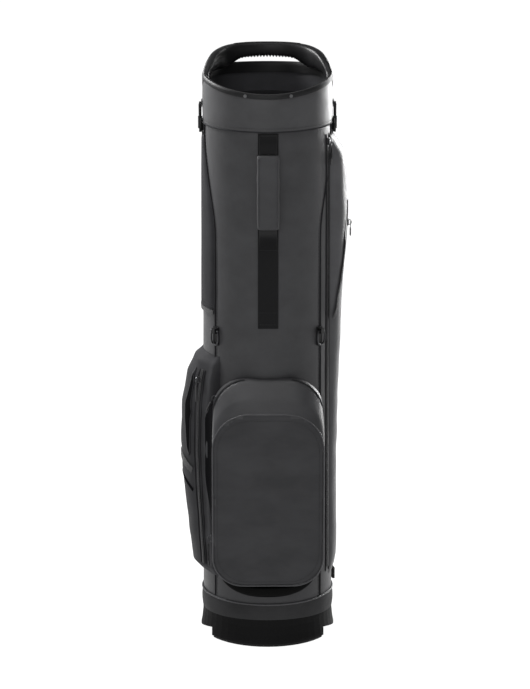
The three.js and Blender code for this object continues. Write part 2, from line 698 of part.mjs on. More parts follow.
function buildBallPocket() {
  const { half, bottom, top, corner, toe, front, faceDrop, slant } = BALL;
  const rows = [
    { y: -40 * WIDE, inset: BALL.edge, drop: 0, lift: 0, lean: 0 },
    { y: -BODY_R - 6.5, inset: BALL.edge, drop: 0, lift: 0, lean: 0 },
    { y: -front + 15, inset: 0, drop: faceDrop * 0.5, lift: 2, lean: 0.5 },
    { y: -front + 3.5, inset: 0.8, drop: faceDrop * 0.92, lift: 3, lean: 0.9 },
    { y: -front, inset: 5, drop: faceDrop + 5, lift: 7, lean: 1 },
  ];
  const rings = rows.map(({ y, inset, drop, lift, lean }) => {
    const [low, high] = [bottom + lift, top - drop];
    return pocketOutline(half - inset, low, high, corner - inset, toe).map(([x, z]) => {
      const down = (high - z) / (high - low);
      return new THREE.Vector3(x, y + slant * lean * down, z);
    });
  });
  add("ball_pocket", loft(rings).subtract(bodyCone(GAP)), coatedFabric);
}

function smooth(points, samples) {
  const curve = new THREE.SplineCurve(points.map(([x, y]) => new THREE.Vector2(x, y)));
  return curve.getPoints(samples).map((p) => [p.x, p.y]);
}

function widened(points) {
  return points.map(([x, y]) => [x * WIDE, y * WIDE]);
}

// The apparel pocket on the right: its side view outline times its plan.
function buildApparelPocket() {
  const { bottom, top, bulge } = APPAREL;
  const skyline = [
    [60 * WIDE, bottom + 2], [97 * WIDE, bottom], ...smooth([
      [104 * WIDE, bottom + 8], [105 * WIDE, 160 * TALL], [103.5 * WIDE, 260 * TALL],
      [105.5 * WIDE, 360 * TALL], [110.5 * WIDE, 510 * TALL], [bulge - 2, 600 * TALL],
      [bulge, 660 * TALL], [114.5 * WIDE, 733 * TALL], [101.5 * WIDE, top],
    ], 20), [60 * WIDE, top + 4],
  ];
  const plan = widened([
    [50, -26], [92.5, -28], ...smooth([
      [100, -27], [111, -18], [118, 6], [116, 30], [100, 54], [78, 70],
    ], 12), [50, 60],
  ]);
  const pocket = prism(skyline, "y", -60 * WIDE, 90 * WIDE).intersect(prism(plan, "z", bottom - 5, top + 9))
    .subtract(bodyCone(GAP));
  add("apparel_pocket", pocket, coatedFabric);
}

// Skyline of the left pocket and its outer pouch, as (x, z) going up.
const LEFT_EDGE = [
  [-113, (LEFT.bottom + 11) / TALL], [-119, 170], [-126, 232], [-130, 296], [-128, 360],
  [-120, 405], [-110, 427],
].map(([x, z]) => [x * WIDE, z * TALL]);

function leftSkyline(inset, bottom, top) {
  return [
    [-60 * WIDE, bottom], [-106 * WIDE + inset, bottom],
    ...smooth(LEFT_EDGE.map(([x, z]) => [x + inset, z]), 16),
    [-97 * WIDE, top - 6], [-82 * WIDE, top], [-60 * WIDE, top],
  ].reverse();
}

// The left pocket starts beside the ball pocket.
const LEFT_FRONT = -(BALL.half + 2 * GAP);
const LEFT_STEP = 2 - Math.sqrt(BODY_R ** 2 - LEFT_FRONT ** 2); // inside the tube there

function leftPlan(reach) {
  const face = [[-92, -60], [-106, -46]];
  const rear = [[-106, 50], [-82, 68]];
  return [
    [-50 * WIDE, LEFT_STEP], [LEFT_FRONT, LEFT_STEP], [LEFT_FRONT, -62 * WIDE], ...smooth([
      ...widened(face), [-reach, -20 * WIDE], [-reach, 20 * WIDE], ...widened(rear),
    ], 14), [-50 * WIDE, 60 * WIDE],
  ].reverse();
}

function buildLeftPockets() {
  const { bottom, top, bulge, panel, wall, front, back } = LEFT;
  const inner = prism(leftSkyline(0, bottom, top), "y", -70 * WIDE, 80 * WIDE)
    .intersect(prism(leftPlan(panel), "z", bottom - 5, top + 9));
  add("left_pocket", inner.subtract(bodyCone(GAP)), coatedFabric);

  const beyond = prism(leftPlan(panel + GAP), "z", bottom - 20, top + 20);
  const outer = prism(leftSkyline(0, bottom + 9, top), "y", front * WIDE, back * WIDE)
    .intersect(prism(leftPlan(bulge), "z", bottom - 5, top - 20))
    .subtract(beyond);
  const well = prism(leftSkyline(wall, bottom + 20, top + 40), "y", front * WIDE + wall,
    back * WIDE - wall).intersect(prism(leftPlan(bulge - wall), "z", bottom + 40, top + 40));
  add("bottle_pouch", outer.subtract(well).subtract(pouchMouth()), darkFabric);
}

function pouchMouth() {
  const edge = LEFT.front * WIDE;
  const outline = [[edge - 20, MOUTH.top], [edge - 20, MOUTH.bottom]];
  const steps = 12;
  for (let i = 0; i <= steps; i += 1) {
    const t = i / steps;
    const z = THREE.MathUtils.lerp(MOUTH.bottom, MOUTH.top, t);
    outline.push([edge + MOUTH.deep * Math.sin(Math.PI * t) ** 0.5, z]);
  }
  return prism(outline, "x", -LEFT.bulge - 9, -LEFT.panel + 20);
}

function wedge(fromDeg, toDeg, r, z0, z1) {
  const points = [[0, 0]];
  for (let i = 0; i <= 8; i += 1) {
    const a = THREE.MathUtils.degToRad(fromDeg + ((toDeg - fromDeg) * i) / 8);
    points.push([r * Math.cos(a), r * Math.sin(a)]);
  }
  return prism(points, "z", z0, z1);
}

function buildSidePanel() {
  const { bottom, top, thick, from, to } = SIDE_PANEL;
  const skin = turned(bodyProfile(GAP + thick, bottom, top))
    .subtract(bodyCone(GAP))
    .intersect(wedge(from, to, BODY_R + 40, bottom - 1, top + 1));
  add("side_panel", skin, darkFabric);
}

// ---------- zip sliders ----------
// In its own frame a slider faces -Y and its pull hangs down from it.
function sliderBody() {
  const length = 10;
  return box(-3.4, 3.4, -3, 0, -length / 2, length / 2)
    .add(box(-3.4, -1.4, -6, -2, -3, 3))
    .add(box(1.4, 3.4, -6, -2, -3, 3));
}

function pullBody(length) {
  return box(-1, 1, -5.8, -3.6, -1.1, 1.1)
    .add(box(-1, 1, -5.4, -3.8, -8, 0))
    .add(box(-2.3, 2.3, -5.6, -3.4, -length, -6));
}

function buildZip(name, position, outward, length) {
  const frame = matrixOf(position, outward + Math.PI / 2);
  add(`${name}_slider`, moved(sliderBody(), frame), zipMetal);
  add(`${name}_pull`, moved(pullBody(length), frame), zipMetal);
}

function onBody(angleDeg, z, extra) {
  const a = THREE.MathUtils.degToRad(angleDeg);
  const r = bodyRadius(z) + extra;
  return { x: r * Math.cos(a), y: r * Math.sin(a), z };
}

function buildZips() {
  const deg = THREE.MathUtils.degToRad;
  buildZip("apparel", onBody(-22.5, BODY_TOP - 24, 1.2), deg(-22.5), 34);
  buildZip("valuables", { x: APPAREL.bulge + 0.8, y: 4 * WIDE, z: 632 * TALL }, 0, 20);
  buildZip("left_pocket", { x: -103 * WIDE, y: -51 * WIDE, z: 405 * TALL }, deg(-137), 34);
  buildZip("ball_lower", { x: -BALL.half - 0.8, y: -BODY_R - 12.5, z: 176 * TALL }, Math.PI, 42);
  buildArcZip();
}

// The upper ball pocket slider rides round the pocket's top corner.
function buildArcZip() {
  const centre = arcCentre();
  const a = THREE.MathUtils.degToRad(155);
  const r = BALL.corner - BALL.edge + 0.8;
  const at = { x: centre.x + r * Math.cos(a), y: ARC_Y, z: centre.z + r * Math.sin(a) };
  const tilt = a - Math.PI;
  const place = new THREE.Matrix4().makeTranslation(at.x, at.y, at.z);
  const frame = place.clone().multiply(new THREE.Matrix4().makeRotationY(-tilt))
    .multiply(new THREE.Matrix4().makeRotationZ(-Math.PI / 2));
  add("ball_upper_slider", moved(sliderBody(), frame), zipMetal);
  add("ball_upper_pull", moved(pullBody(24), frame), zipMetal);
}

function arcCentre() {
  return { x: -(BALL.half - BALL.corner), z: BALL.top - BALL.corner + BALL.edge };
}

// ---------- strap hardware ----------
function buildStaple({ side, s }) {
  const { x, bottom, top, r } = STAPLE;
  const start = (z) => (z > BODY_TOP ? COLLAR_R : bodyRadius(z)) + GAP;
  const bar = drum(r, bottom - r, top + r, 10).translate([s * x, 0, 0]);
  const stub = (z) => barX(r, Math.min(s * start(z), s * x), Math.max(s * start(z), s * x), 0, z, 10);
  const plate = (z) => box(Math.min(s * start(z), s * (start(z) + 1)),
    Math.max(s * start(z), s * (start(z) + 1)), -4, 4, z - 2.4, z + 2.4);
  let staple = bar;
  for (const z of [bottom, top]) staple = staple.add(stub(z)).add(plate(z));
  add(`strap_staple_${side}`, staple.subtract(bodyCone(GAP)), steel);
}

function buildSwivel({ side, s }) {
  const { inner, outer, bottom, height, reach } = SWIVEL;
  const barrel = drum(outer, bottom, bottom + height, 16);
  const middle = bottom + height / 2;
  const loopCurve = new THREE.CatmullRomCurve3([
    [0, 1, middle - 6.6], [0, 10, middle - 7.5], [0, reach - 4, middle - 5.5], [0, reach, middle],
    [0, reach - 4, middle + 5.5], [0, 10, middle + 7.5], [0, 1, middle + 6.6],
  ].map((p) => new THREE.Vector3(...p)));
  const swivel = barrel.add(wire(loopCurve, 1.7, 12, 6))
    .subtract(drum(inner, bottom - 1, bottom + height + 1, 16))
    .translate([s * STAPLE.x, 0, 0]);
  add(`strap_swivel_${side}`, swivel, mouldedBlack);
}

function anchorMatrix(s) {
  const a = THREE.MathUtils.degToRad(s > 0 ? ANCHOR.angle : -180 - ANCHOR.angle);
  const r = bodyRadius(ANCHOR.z) + GAP;
  return matrixOf({ x: r * Math.cos(a), y: r * Math.sin(a), z: ANCHOR.z }, a);
}

// In its own frame an anchor's outward direction is +X; its ring hangs from its lug.
function buildAnchor({ side, s }) {
  const { out } = ANCHOR;
  const hinge = { x: out - 1.4, z: 8 };
  const lug = prism([[-6, -14], [6, -14], [6, 14], [-6, 14]], "x", -3, 1.6)
    .add(box(0, out + 1.6, -3.5, 3.5, hinge.z - 4, hinge.z + 4));
  const bore = new THREE.CylinderGeometry(1.4 + PLAY, 1.4 + PLAY, 20, 12);
  bore.translate(hinge.x, 0, hinge.z);
  const anchor = moved(lug.subtract(solid(bore)), anchorMatrix(s)).subtract(bodyCone(GAP));
  add(`lower_anchor_${side}`, anchor, mouldedBlack);

  const [w, drop] = [8, 21];
  const loop = new THREE.CatmullRomCurve3([
    [0, -w + 1, 0], [0, -w, -3], [0, -w, -drop + 6], [0, -w + 3, -drop + 1], [0, 0, -drop],
    [0, w - 3, -drop + 1], [0, w, -drop + 6], [0, w, -3], [0, w - 1, 0],
  ].map((p) => new THREE.Vector3(...p)));
  const bar = new THREE.CylinderGeometry(1.4, 1.4, 2 * w, 12);
  const ringBody = wire(loop, 1.4, 14, 6).add(solid(bar)).translate([hinge.x, 0, hinge.z]);
  add(`lower_ring_${side}`, moved(ringBody, anchorMatrix(s)), zipMetal);
}

function buildLegLock() {
  const at = onBody(LEG_LOCK.angle, LEG_LOCK.z, GAP);
  const frame = matrixOf(at, THREE.MathUtils.degToRad(LEG_LOCK.angle));
  const tab = box(-3, 1.6, -9, 9, -7, 7);
  add("leg_lock_strap", moved(tab, frame).subtract(bodyCone(GAP)), webbingFabric);
  const buckle = box(1.6 + GAP, 5.4, -11, 11, -8.5, 8.5).subtract(box(0, 9, -6, 6, -4, 4));
  add("leg_lock_buckle", moved(buckle, frame), mouldedBlack);
}

// ---------- assembly ----------
buildTub();
buildCuff();
buildFlap();
buildBody();
buildCollar();
buildRim();
buildDivider();
buildSpine();
buildLowerHandle();
buildBallPocket();
buildApparelPocket();
buildLeftPockets();
buildSidePanel();
buildZips();
buildLegLock();
buildHousing();
for (const one of SIDES) {
  buildStaple(one);
  buildSwivel(one);
  buildAnchor(one);
  buildLeg(one);
  buildRod(one);
}

export default bag;
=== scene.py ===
"""Golf stand bag: the fabric, webbing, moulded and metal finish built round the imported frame.

Metres, +Z up, origin on the floor on the bag's own axis, front at -Y, legs at +Y.
"""
import json
import logging
import math
from collections.abc import Callable, Iterable, Sequence
from dataclasses import dataclass, field
from enum import Enum

import bpy
from mathutils import Matrix, Vector, noise
from mathutils.kdtree import KDTree


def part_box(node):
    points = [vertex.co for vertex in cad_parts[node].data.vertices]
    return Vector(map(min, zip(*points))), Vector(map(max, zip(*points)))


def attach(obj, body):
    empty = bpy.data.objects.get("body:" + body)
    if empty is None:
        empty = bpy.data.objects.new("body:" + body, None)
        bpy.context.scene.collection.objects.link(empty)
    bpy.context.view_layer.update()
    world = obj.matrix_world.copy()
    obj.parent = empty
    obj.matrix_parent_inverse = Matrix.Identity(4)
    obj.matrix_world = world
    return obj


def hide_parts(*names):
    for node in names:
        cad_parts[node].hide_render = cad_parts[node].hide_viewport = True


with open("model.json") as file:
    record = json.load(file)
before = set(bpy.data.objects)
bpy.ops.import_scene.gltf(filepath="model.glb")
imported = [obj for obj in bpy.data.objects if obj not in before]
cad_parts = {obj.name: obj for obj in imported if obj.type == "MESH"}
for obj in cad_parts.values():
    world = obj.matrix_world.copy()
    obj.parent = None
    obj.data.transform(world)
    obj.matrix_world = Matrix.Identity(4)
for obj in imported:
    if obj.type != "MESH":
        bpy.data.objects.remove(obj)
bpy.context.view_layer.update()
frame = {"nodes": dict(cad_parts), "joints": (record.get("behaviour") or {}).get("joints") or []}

LOG = logging.getLogger("stand_bag")
ROOT = "bag"
SIDES = (("left", -1), ("right", 1))
Profile = Sequence[tuple[float, float]]


def mm(value: float) -> float:
    """Millimetres as metres."""
    return value * 0.001


def lerp(a: float, b: float, t: float) -> float:
    """The value a share t of the way from a to b."""
    return a + (b - a) * t


def smooth(t: float) -> float:
    """A soft step from 0 to 1."""
    t = min(max(t, 0.0), 1.0)
    return t * t * (3 - 2 * t)


# ---------------------------------------------------------------- finishes


class Slot(Enum):
    """The record's material slots."""

    COATED = "coated_fabric"
    DARK = "dark_fabric"
    BLACK = "black_fabric"
    WEBBING = "webbing"
    MOULDED = "moulded_black"
    SOLE = "sole_rubber"
    FOOT = "foot_rubber"
    ZIP = "zip_metal"
    STEEL = "steel"
    ALUMINIUM = "leg_aluminium"
    FIBRE = "fibreglass"


class Canvas:
    """A material's node tree, with short calls to add and join nodes."""

    def __init__(self, name: str) -> None:
        """Starts an empty node material of that name."""
        self.material = bpy.data.materials.new(name)
        self.material.use_nodes = True
        self.tree = self.material.node_tree
        self.shader = self.tree.nodes["Principled BSDF"]

    def node(self, kind: str, inputs: dict[str, object] | None = None, **settings: object):
        """Adds a node.

        Args:
            kind: the node's Blender type.
            inputs: socket values, or output sockets to join to them.
            settings: the node's own properties.

        Returns:
            The new node.
        """
        made = self.tree.nodes.new(kind)
        for key, value in settings.items():
            setattr(made, key, value)
        for key, value in (inputs or {}).items():
            socket = made.inputs[int(key)] if key.isdigit() else made.inputs[key]
            self.feed(socket, value)
        return made

    def feed(self, socket, value: object) -> None:
        """Sets a socket's value, or joins an output to it."""
        if isinstance(value, bpy.types.NodeSocket):
            self.tree.links.new(value, socket)
        else:
            socket.default_value = value

    def wrapped(self):
        """Coordinates that run round the bag: arc length, height and distance from the axis."""
        place = self.node("ShaderNodeTexCoord").outputs["Object"]
        parts = self.node("ShaderNodeSeparateXYZ", {"Vector": place}).outputs
        turn = self.node("ShaderNodeMath", {"0": parts["Y"], "1": parts["X"]}, operation="ARCTAN2")
        arc = self.node("ShaderNodeMath", {"0": turn.outputs[0], "1": 0.1}, operation="MULTIPLY")
        away = self.node("ShaderNodeVectorMath", {"0": place}, operation="LENGTH")
        joined = self.node("ShaderNodeCombineXYZ", {
            "X": arc.outputs[0], "Y": parts["Z"], "Z": away.outputs["Value"]})
        return joined.outputs["Vector"]

    def noise(self, vector, size: float, detail: float = 3.0):
        """Soft noise whose blobs are about size across."""
        made = self.node("ShaderNodeTexNoise", {
            "Vector": vector, "Scale": 1 / size, "Detail": detail, "Roughness": 0.55})
        return made.outputs["Fac"]

    def bands(self, vector, period: float, direction: str):
        """Smooth bands one period apart."""
        made = self.node("ShaderNodeTexWave", {"Vector": vector, "Scale": 0.314 / period},
                         bands_direction=direction)
        return made.outputs["Fac"]

    def math(self, operation: str, a, b):
        """One arithmetic step."""
        return self.node("ShaderNodeMath", {"0": a, "1": b}, operation=operation).outputs[0]

    def between(self, fac, low: Sequence[float], high: Sequence[float]):
        """A colour between low and high."""
        ramp = self.node("ShaderNodeValToRGB", {"Fac": fac})
        ramp.color_ramp.elements[0].color = (*low, 1)
        ramp.color_ramp.elements[1].color = (*high, 1)
        ramp.color_ramp.elements[0].position = 0.3
        ramp.color_ramp.elements[1].position = 0.7
        return ramp.outputs["Color"]

    def spread(self, fac, low: float, high: float):
        """A number between low and high."""
        return self.node("ShaderNodeMapRange", {
            "Value": fac, "From Min": 0.3, "From Max": 0.7, "To Min": low, "To Max": high,
        }).outputs["Result"]

    def bump(self, height, depth: float, under=None):
        """A bump of that depth, on top of another."""
        inputs = {"Height": height, "Distance": depth, "Strength": 1.0}
        if under is not None:
            inputs["Normal"] = under
        return self.node("ShaderNodeBump", inputs).outputs["Normal"]


@dataclass(frozen=True)
class Finish:
    """One finish: a base colour, how rough it is, and the slot it belongs to."""

    name: str
    slot: Slot
    colour: tuple[float, float, float]
    rough: float
    vary: float = 0.14
    specular: float = 0.18

    def shades(self) -> tuple[tuple[float, ...], tuple[float, ...]]:
        """The darker and lighter shade that the surface wanders between."""
        low = tuple(c * (1 - self.vary) for c in self.colour)
        return low, tuple(c * (1 + self.vary) for c in self.colour)

    def dress(self, canvas: Canvas) -> None:
        """Adds this finish's own texture; plain here."""

    def material(self) -> bpy.types.Material:
        """The finish as a material, made once."""
        found = bpy.data.materials.get(self.name)
        if found:
            return found
        canvas = Canvas(self.name)
        shader = canvas.shader
        shader.inputs["Specular IOR Level"].default_value = self.specular
        blotch = canvas.noise(canvas.wrapped(), mm(40))
        canvas.feed(shader.inputs["Base Color"], canvas.between(blotch, *self.shades()))
        low, high = self.rough - 0.05, self.rough + 0.06
        canvas.feed(shader.inputs["Roughness"], canvas.spread(blotch, low, high))
        self.dress(canvas)
        return canvas.material


@dataclass(frozen=True)
class Cloth(Finish):
    """Coated or plain woven cloth: crossing threads, a pebbled coat and a faint sheen."""

    thread: float = 0.0009
    depth: float = 0.00006
    pebble: float = 0.0016
    crumple: float = 0.0004
    sheen: float = 0.02

    def dress(self, canvas: Canvas) -> None:
        """Threads both ways, a fine pebble and soft broad creases."""
        along = canvas.wrapped()
        weft = canvas.bands(along, self.thread, "X")
        warp = canvas.bands(along, self.thread, "Y")
        threads = canvas.bump(canvas.math("MULTIPLY", weft, warp), self.depth)
        coat = canvas.bump(canvas.noise(along, self.pebble, 2.0), self.depth * 1.6, threads)
        creases = canvas.bump(canvas.noise(along, mm(34), 2.5), self.crumple, coat)
        canvas.feed(canvas.shader.inputs["Normal"], creases)
        canvas.shader.inputs["Sheen Weight"].default_value = self.sheen
        canvas.shader.inputs["Sheen Roughness"].default_value = 0.45


@dataclass(frozen=True)
class Webbing(Finish):
    """Ribbed nylon webbing: a chevron of tight ribs."""

    rib: float = 0.0018

    def dress(self, canvas: Canvas) -> None:
        """Diagonal ribs crossed by the weft."""
        along = canvas.wrapped()
        slant = canvas.bands(along, self.rib, "DIAGONAL")
        weft = canvas.bands(along, self.rib * 0.6, "Y")
        ribs = canvas.math("ADD", slant, canvas.math("MULTIPLY", weft, 0.5))
        canvas.feed(canvas.shader.inputs["Normal"], canvas.bump(ribs, 0.00022))
        canvas.shader.inputs["Sheen Weight"].default_value = 0.12


@dataclass(frozen=True)
class Moulded(Finish):
    """Spark-textured moulded plastic or rubber with rubbed patches."""

    grain: float = 0.0007
    depth: float = 0.00005

    def dress(self, canvas: Canvas) -> None:
        """Fine mould texture over soft flow marks."""
        along = canvas.wrapped()
        fine = canvas.bump(canvas.noise(along, self.grain, 4.0), self.depth)
        flow = canvas.bump(canvas.noise(along, mm(9), 2.0), self.depth * 2, fine)
        canvas.feed(canvas.shader.inputs["Normal"], flow)


@dataclass(frozen=True)
class Metal(Finish):
    """Drawn or painted metal with fine lines along its length."""

    metallic: float = 1.0
    line: float = 0.0003

    def dress(self, canvas: Canvas) -> None:
        """Stretched scratches that follow the height."""
        place = canvas.node("ShaderNodeTexCoord").outputs["Object"]
        pulled = canvas.node("ShaderNodeMapping", {"Vector": place, "Scale": (1, 1, 0.04)})
        lines = canvas.noise(pulled.outputs["Vector"], self.line, 2.0)
        canvas.feed(canvas.shader.inputs["Normal"], canvas.bump(lines, 0.00001))
        canvas.shader.inputs["Metallic"].default_value = self.metallic


BODY_CLOTH = Cloth("coated_cloth_charcoal", Slot.COATED, (0.031, 0.031, 0.033), 0.42,
                   specular=0.24)
FACE_CLOTH = Cloth("coated_cloth_face", Slot.COATED, (0.035, 0.035, 0.037), 0.54, specular=0.07)
COLLAR_CLOTH = Cloth("collar_cloth", Slot.COATED, (0.034, 0.034, 0.036), 0.4, specular=0.28)
CUFF_CLOTH = Cloth("cuff_cloth", Slot.COATED, (0.026, 0.026, 0.027), 0.58, specular=0.05)
PANEL_CLOTH = Cloth("panel_cloth", Slot.DARK, (0.022, 0.022, 0.024), 0.7, specular=0.04)
# Lighter than the body cloth as painted light: the right pocket's brightly lit side is put into its
# colour.
APPAREL_CLOTH_PAINTED_LIGHT = Cloth("apparel_cloth_painted_light", Slot.COATED, (0.052, 0.052, 0.055), 0.45, specular=0.24)
POCKET_CLOTH = Cloth("left_pocket_cloth_coat", Slot.COATED, (0.028, 0.028, 0.03), 0.6,
                     specular=0.05)
SEAM_CLOTH = Cloth("seam_binding", Slot.BLACK, (0.01, 0.01, 0.011), 0.65, thread=0.0006,
                   specular=0.08)
GRIP_CLOTH = Cloth("grip_cloth", Slot.COATED, (0.034, 0.034, 0.036), 0.5, crumple=0.0007)
LINING = Cloth("lining_cloth", Slot.BLACK, (0.01, 0.01, 0.011), 0.8, thread=0.0016,
               specular=0.1, sheen=0.0)
# Near-black cloth: black gusset fabric darkened further as painted shade, for gaps, slits and
# recesses.
GUSSET_PAINTED_SHADE = Cloth("gusset_cloth_painted_shade", Slot.BLACK, (0.003, 0.003, 0.0035), 0.85, specular=0.02,
                     sheen=0.0)
# Pale piping cloth: lighter than the cloth round it as a painted highlight line on welts and lips.
PIPING_PAINTED_HIGHLIGHT = Cloth("piping_cloth_painted_highlight", Slot.COATED, (0.05, 0.05, 0.053), 0.42, thread=0.0006)
STRAP = Webbing("webbing_black", Slot.WEBBING, (0.006, 0.006, 0.0065), 0.8, specular=0.1)
STRAP_GREY = Webbing("webbing_charcoal", Slot.WEBBING, (0.016, 0.016, 0.017), 0.72, specular=0.25)
THREAD = Cloth("stitch_thread", Slot.WEBBING, (0.02, 0.02, 0.021), 0.6, thread=0.0004)
MOULDING = Moulded("moulded_black_plastic", Slot.MOULDED, (0.006, 0.006, 0.0065), 0.42)
SOLE = Moulded("sole_rubber_black", Slot.SOLE, (0.0035, 0.0035, 0.0037), 0.68, specular=0.09,
               grain=0.0012)
RIM_PLASTIC = Moulded("rim_plastic", Slot.MOULDED, (0.008, 0.008, 0.0085), 0.5)
DULL_MOULDING = Moulded("dull_black_moulding", Slot.MOULDED, (0.003, 0.003, 0.003), 0.8,
                        specular=0.06)
TOP_LINING = Cloth("top_lining_cloth", Slot.BLACK, (0.03, 0.03, 0.033), 0.75, thread=0.0016)
BLACK_METAL = Metal("black_painted_metal", Slot.STEEL, (0.01, 0.01, 0.011), 0.4, metallic=0.2)
SCREW = Metal("dull_screw_steel", Slot.STEEL, (0.11, 0.11, 0.113), 0.45)
FOOT = Moulded("foot_rubber_black", Slot.FOOT, (0.008, 0.008, 0.008), 0.7, grain=0.001)
ZIP_TAPE = Webbing("zip_tape", Slot.BLACK, (0.008, 0.008, 0.009), 0.7, rib=0.0012)
ZIP_METAL = Metal("zip_black_metal", Slot.ZIP, (0.05, 0.05, 0.053), 0.34, metallic=0.9)
PULL_RUBBER = Moulded("pull_tab", Slot.ZIP, (0.02, 0.02, 0.021), 0.5)
STEEL = Metal("brushed_steel", Slot.STEEL, (0.5, 0.5, 0.52), 0.3)
ANODISED = Metal("anodised_aluminium", Slot.ALUMINIUM, (0.035, 0.035, 0.038), 0.32)
FIBRE = Moulded("fibreglass_rod", Slot.FIBRE, (0.2, 0.2, 0.19), 0.5)

# ---------------------------------------------------------------- meshes


def make(name: str, points: Sequence[Vector], faces: Sequence[Sequence[int]], finish: Finish,
         body: str = ROOT, sharp: float = 40.0) -> bpy.types.Object:
    """Makes a piece from points and faces, dresses it and lets it ride on a body.

    Args:
        name: the piece's name.
        points: its vertices, in metres.
        faces: its faces as vertex numbers.
        finish: the finish it wears.
        body: the CAD body that it moves with.
        sharp: edges that turn by more than this many degrees stay sharp.

    Returns:
        The new object.
    """
    mesh = bpy.data.meshes.new(name)
    mesh.from_pydata([tuple(p) for p in points], [], [tuple(f) for f in faces])
    mesh.validate()
    mesh.update()
    outward(mesh)
    mesh.polygons.foreach_set("use_smooth", [True] * len(mesh.polygons))
    mesh.set_sharp_from_angle(angle=math.radians(sharp))
    made = bpy.data.objects.new(name, mesh)
    bpy.context.scene.collection.objects.link(made)
    made.data.materials.append(finish.material())
    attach(made, body)
    LOG.info("%s on %s, %d points", name, body, len(points))
    return made


def outward(mesh: bpy.types.Mesh) -> None:
    """Turns a closed mesh's faces out, by the sign of its volume."""
    volume = 0.0
    for face in mesh.polygons:
        corners = [mesh.vertices[i].co for i in face.vertices]
        for k in range(1, len(corners) - 1):
            volume += corners[0].dot(corners[k].cross(corners[k + 1]))
    if volume < 0:
        mesh.flip_normals()


@dataclass
class Skin:
    """Points and faces gathered from several strips, to make one piece."""

    points: list[Vector] = field(default_factory=list)
    faces: list[tuple[int, ...]] = field(default_factory=list)

    def loft(self, rings: Sequence[Sequence[Vector]], closed: bool = True,
             caps: bool = True) -> None:
        """Joins equal rings of points.

        Args:
            rings: the rings, each with the same number of points.
            closed: whether each ring closes on itself.
            caps: whether the first and last ring are closed over by a fan.
        """
        start, n = len(self.points), len(rings[0])
        for ring in rings:
            self.points.extend(ring)
        last = n if closed else n - 1
        for k in range(len(rings) - 1):
            for i in range(last):
                j = (i + 1) % n
                a, b = start + k * n + i, start + k * n + j
                self.faces.append((a, b, b + n, a + n))
        if caps:
            for k, flip in ((0, True), (len(rings) - 1, False)):
                hub = len(self.points)
                self.points.append(sum(rings[k], Vector()) / n)
                for i in range(n):
                    a, b = start + k * n + i, start + k * n + (i + 1) % n
                    self.faces.append((hub, b, a) if flip else (hub, a, b))

    def torus(self, rings: Sequence[Sequence[Vector]]) -> None:
        """Joins rings into a closed loop, the last to the first."""
        start, n, count = len(self.points), len(rings[0]), len(rings)
        for ring in rings:
            self.points.extend(ring)
        for k in range(count):
            for i in range(n):
                a, b = start + k * n + i, start + k * n + (i + 1) % n
                c = start + ((k + 1) % count) * n + (i + 1) % n
                d = start + ((k + 1) % count) * n + i
                self.faces.append((a, b, c, d))

    def made(self, name: str, finish: Finish, body: str = ROOT, sharp: float = 40.0):
        """The gathered strips as one piece."""
        return make(name, self.points, self.faces, finish, body, sharp)


def curve_through(points: Sequence[Vector], step: float, closed: bool = False) -> list[Vector]:
    """Points about step apart on a smooth curve through the given ones.

    Args:
        points: the points that the curve passes through.
        step: the distance between the new points.
        closed: whether the curve returns to its start.

    Returns:
        The new points.
    """
    count = len(points)
    made: list[Vector] = []
    spans = count if closed else count - 1
    for k in range(spans):
        if closed:
            p = [points[(k + d) % count] for d in (-1, 0, 1, 2)]
        else:
            p = [points[min(max(k + d, 0), count - 1)] for d in (-1, 0, 1, 2)]
        pieces = max(1, round((p[2] - p[1]).length / step))
        for i in range(pieces):
            t = i / pieces
            made.append(0.5 * (2 * p[1] + (p[2] - p[0]) * t
                        + (2 * p[0] - 5 * p[1] + 4 * p[2] - p[3]) * t * t
                        + (3 * p[1] - p[0] - 3 * p[2] + p[3]) * t ** 3))
    if not closed:
        made.append(points[-1].copy())
    return made


def sweep(path: Sequence[Vector], section: Profile, facing: Callable[[int], Vector],
          closed: bool = False) -> list[list[Vector]]:
    """Rings of a flat section carried along a path.

    Args:
        path: the centre line.
        section: (across, out) points of the section.
        facing: the outward direction at a path point's number.
        closed: whether the path returns to its start.

    Returns:
        One ring of points for each path point.
    """
    rings, count = [], len(path)
    for k, centre in enumerate(path):
        before = path[(k - 1) % count] if closed else path[max(k - 1, 0)]
        after = path[(k + 1) % count] if closed else path[min(k + 1, count - 1)]
        along = (after - before).normalized()
        out = facing(k)
        across = along.cross(out).normalized()
        out = across.cross(along).normalized()
        rings.append([centre + across * u + out * v for u, v in section])
    return rings


def disc(radius: float, sides: int = 10) -> Profile:
    """A round section."""
    return [(radius * math.cos(2 * math.pi * i / sides), radius * math.sin(2 * math.pi * i / sides))
            for i in range(sides)]


def slab(width: float, thick: float, edge: float = 0.35) -> Profile:
    """A flat band's section with soft edges, resting on its path."""
    w, t, e = width / 2, thick, thick * edge
    return [(-w, 0), (w, 0), (w, t - e), (w - e, t), (0, t * 1.04), (-w + e, t), (-w, t - e)]


def any_side(path: Sequence[Vector]) -> Callable[[int], Vector]:
    """A facing that never lies along a roughly planar path, for round sections."""
    middle = sum(path, Vector()) / len(path)
    span = (path[-1] - path[0]) if (path[-1] - path[0]).length > 1e-4 else path[1] - path[0]
    side = span.cross(path[len(path) // 2] - middle)
    normal = side.normalized() if side.length > 1e-9 else span.orthogonal().normalized()
    return lambda k: normal


def cord_piece(name: str, points: Sequence[Vector], radius: float, finish: Finish,
               body: str = ROOT, step: float = 0.004, closed: bool = False):
    """A round rod, welt or cord through the given points."""
    path = curve_through(points, step, closed)
    rings = sweep(path, disc(radius), any_side(path), closed)
    skin = Skin()
    if closed:
        skin.torus(rings)
    else:
        skin.loft(rings)
    return skin.made(name, finish, body)


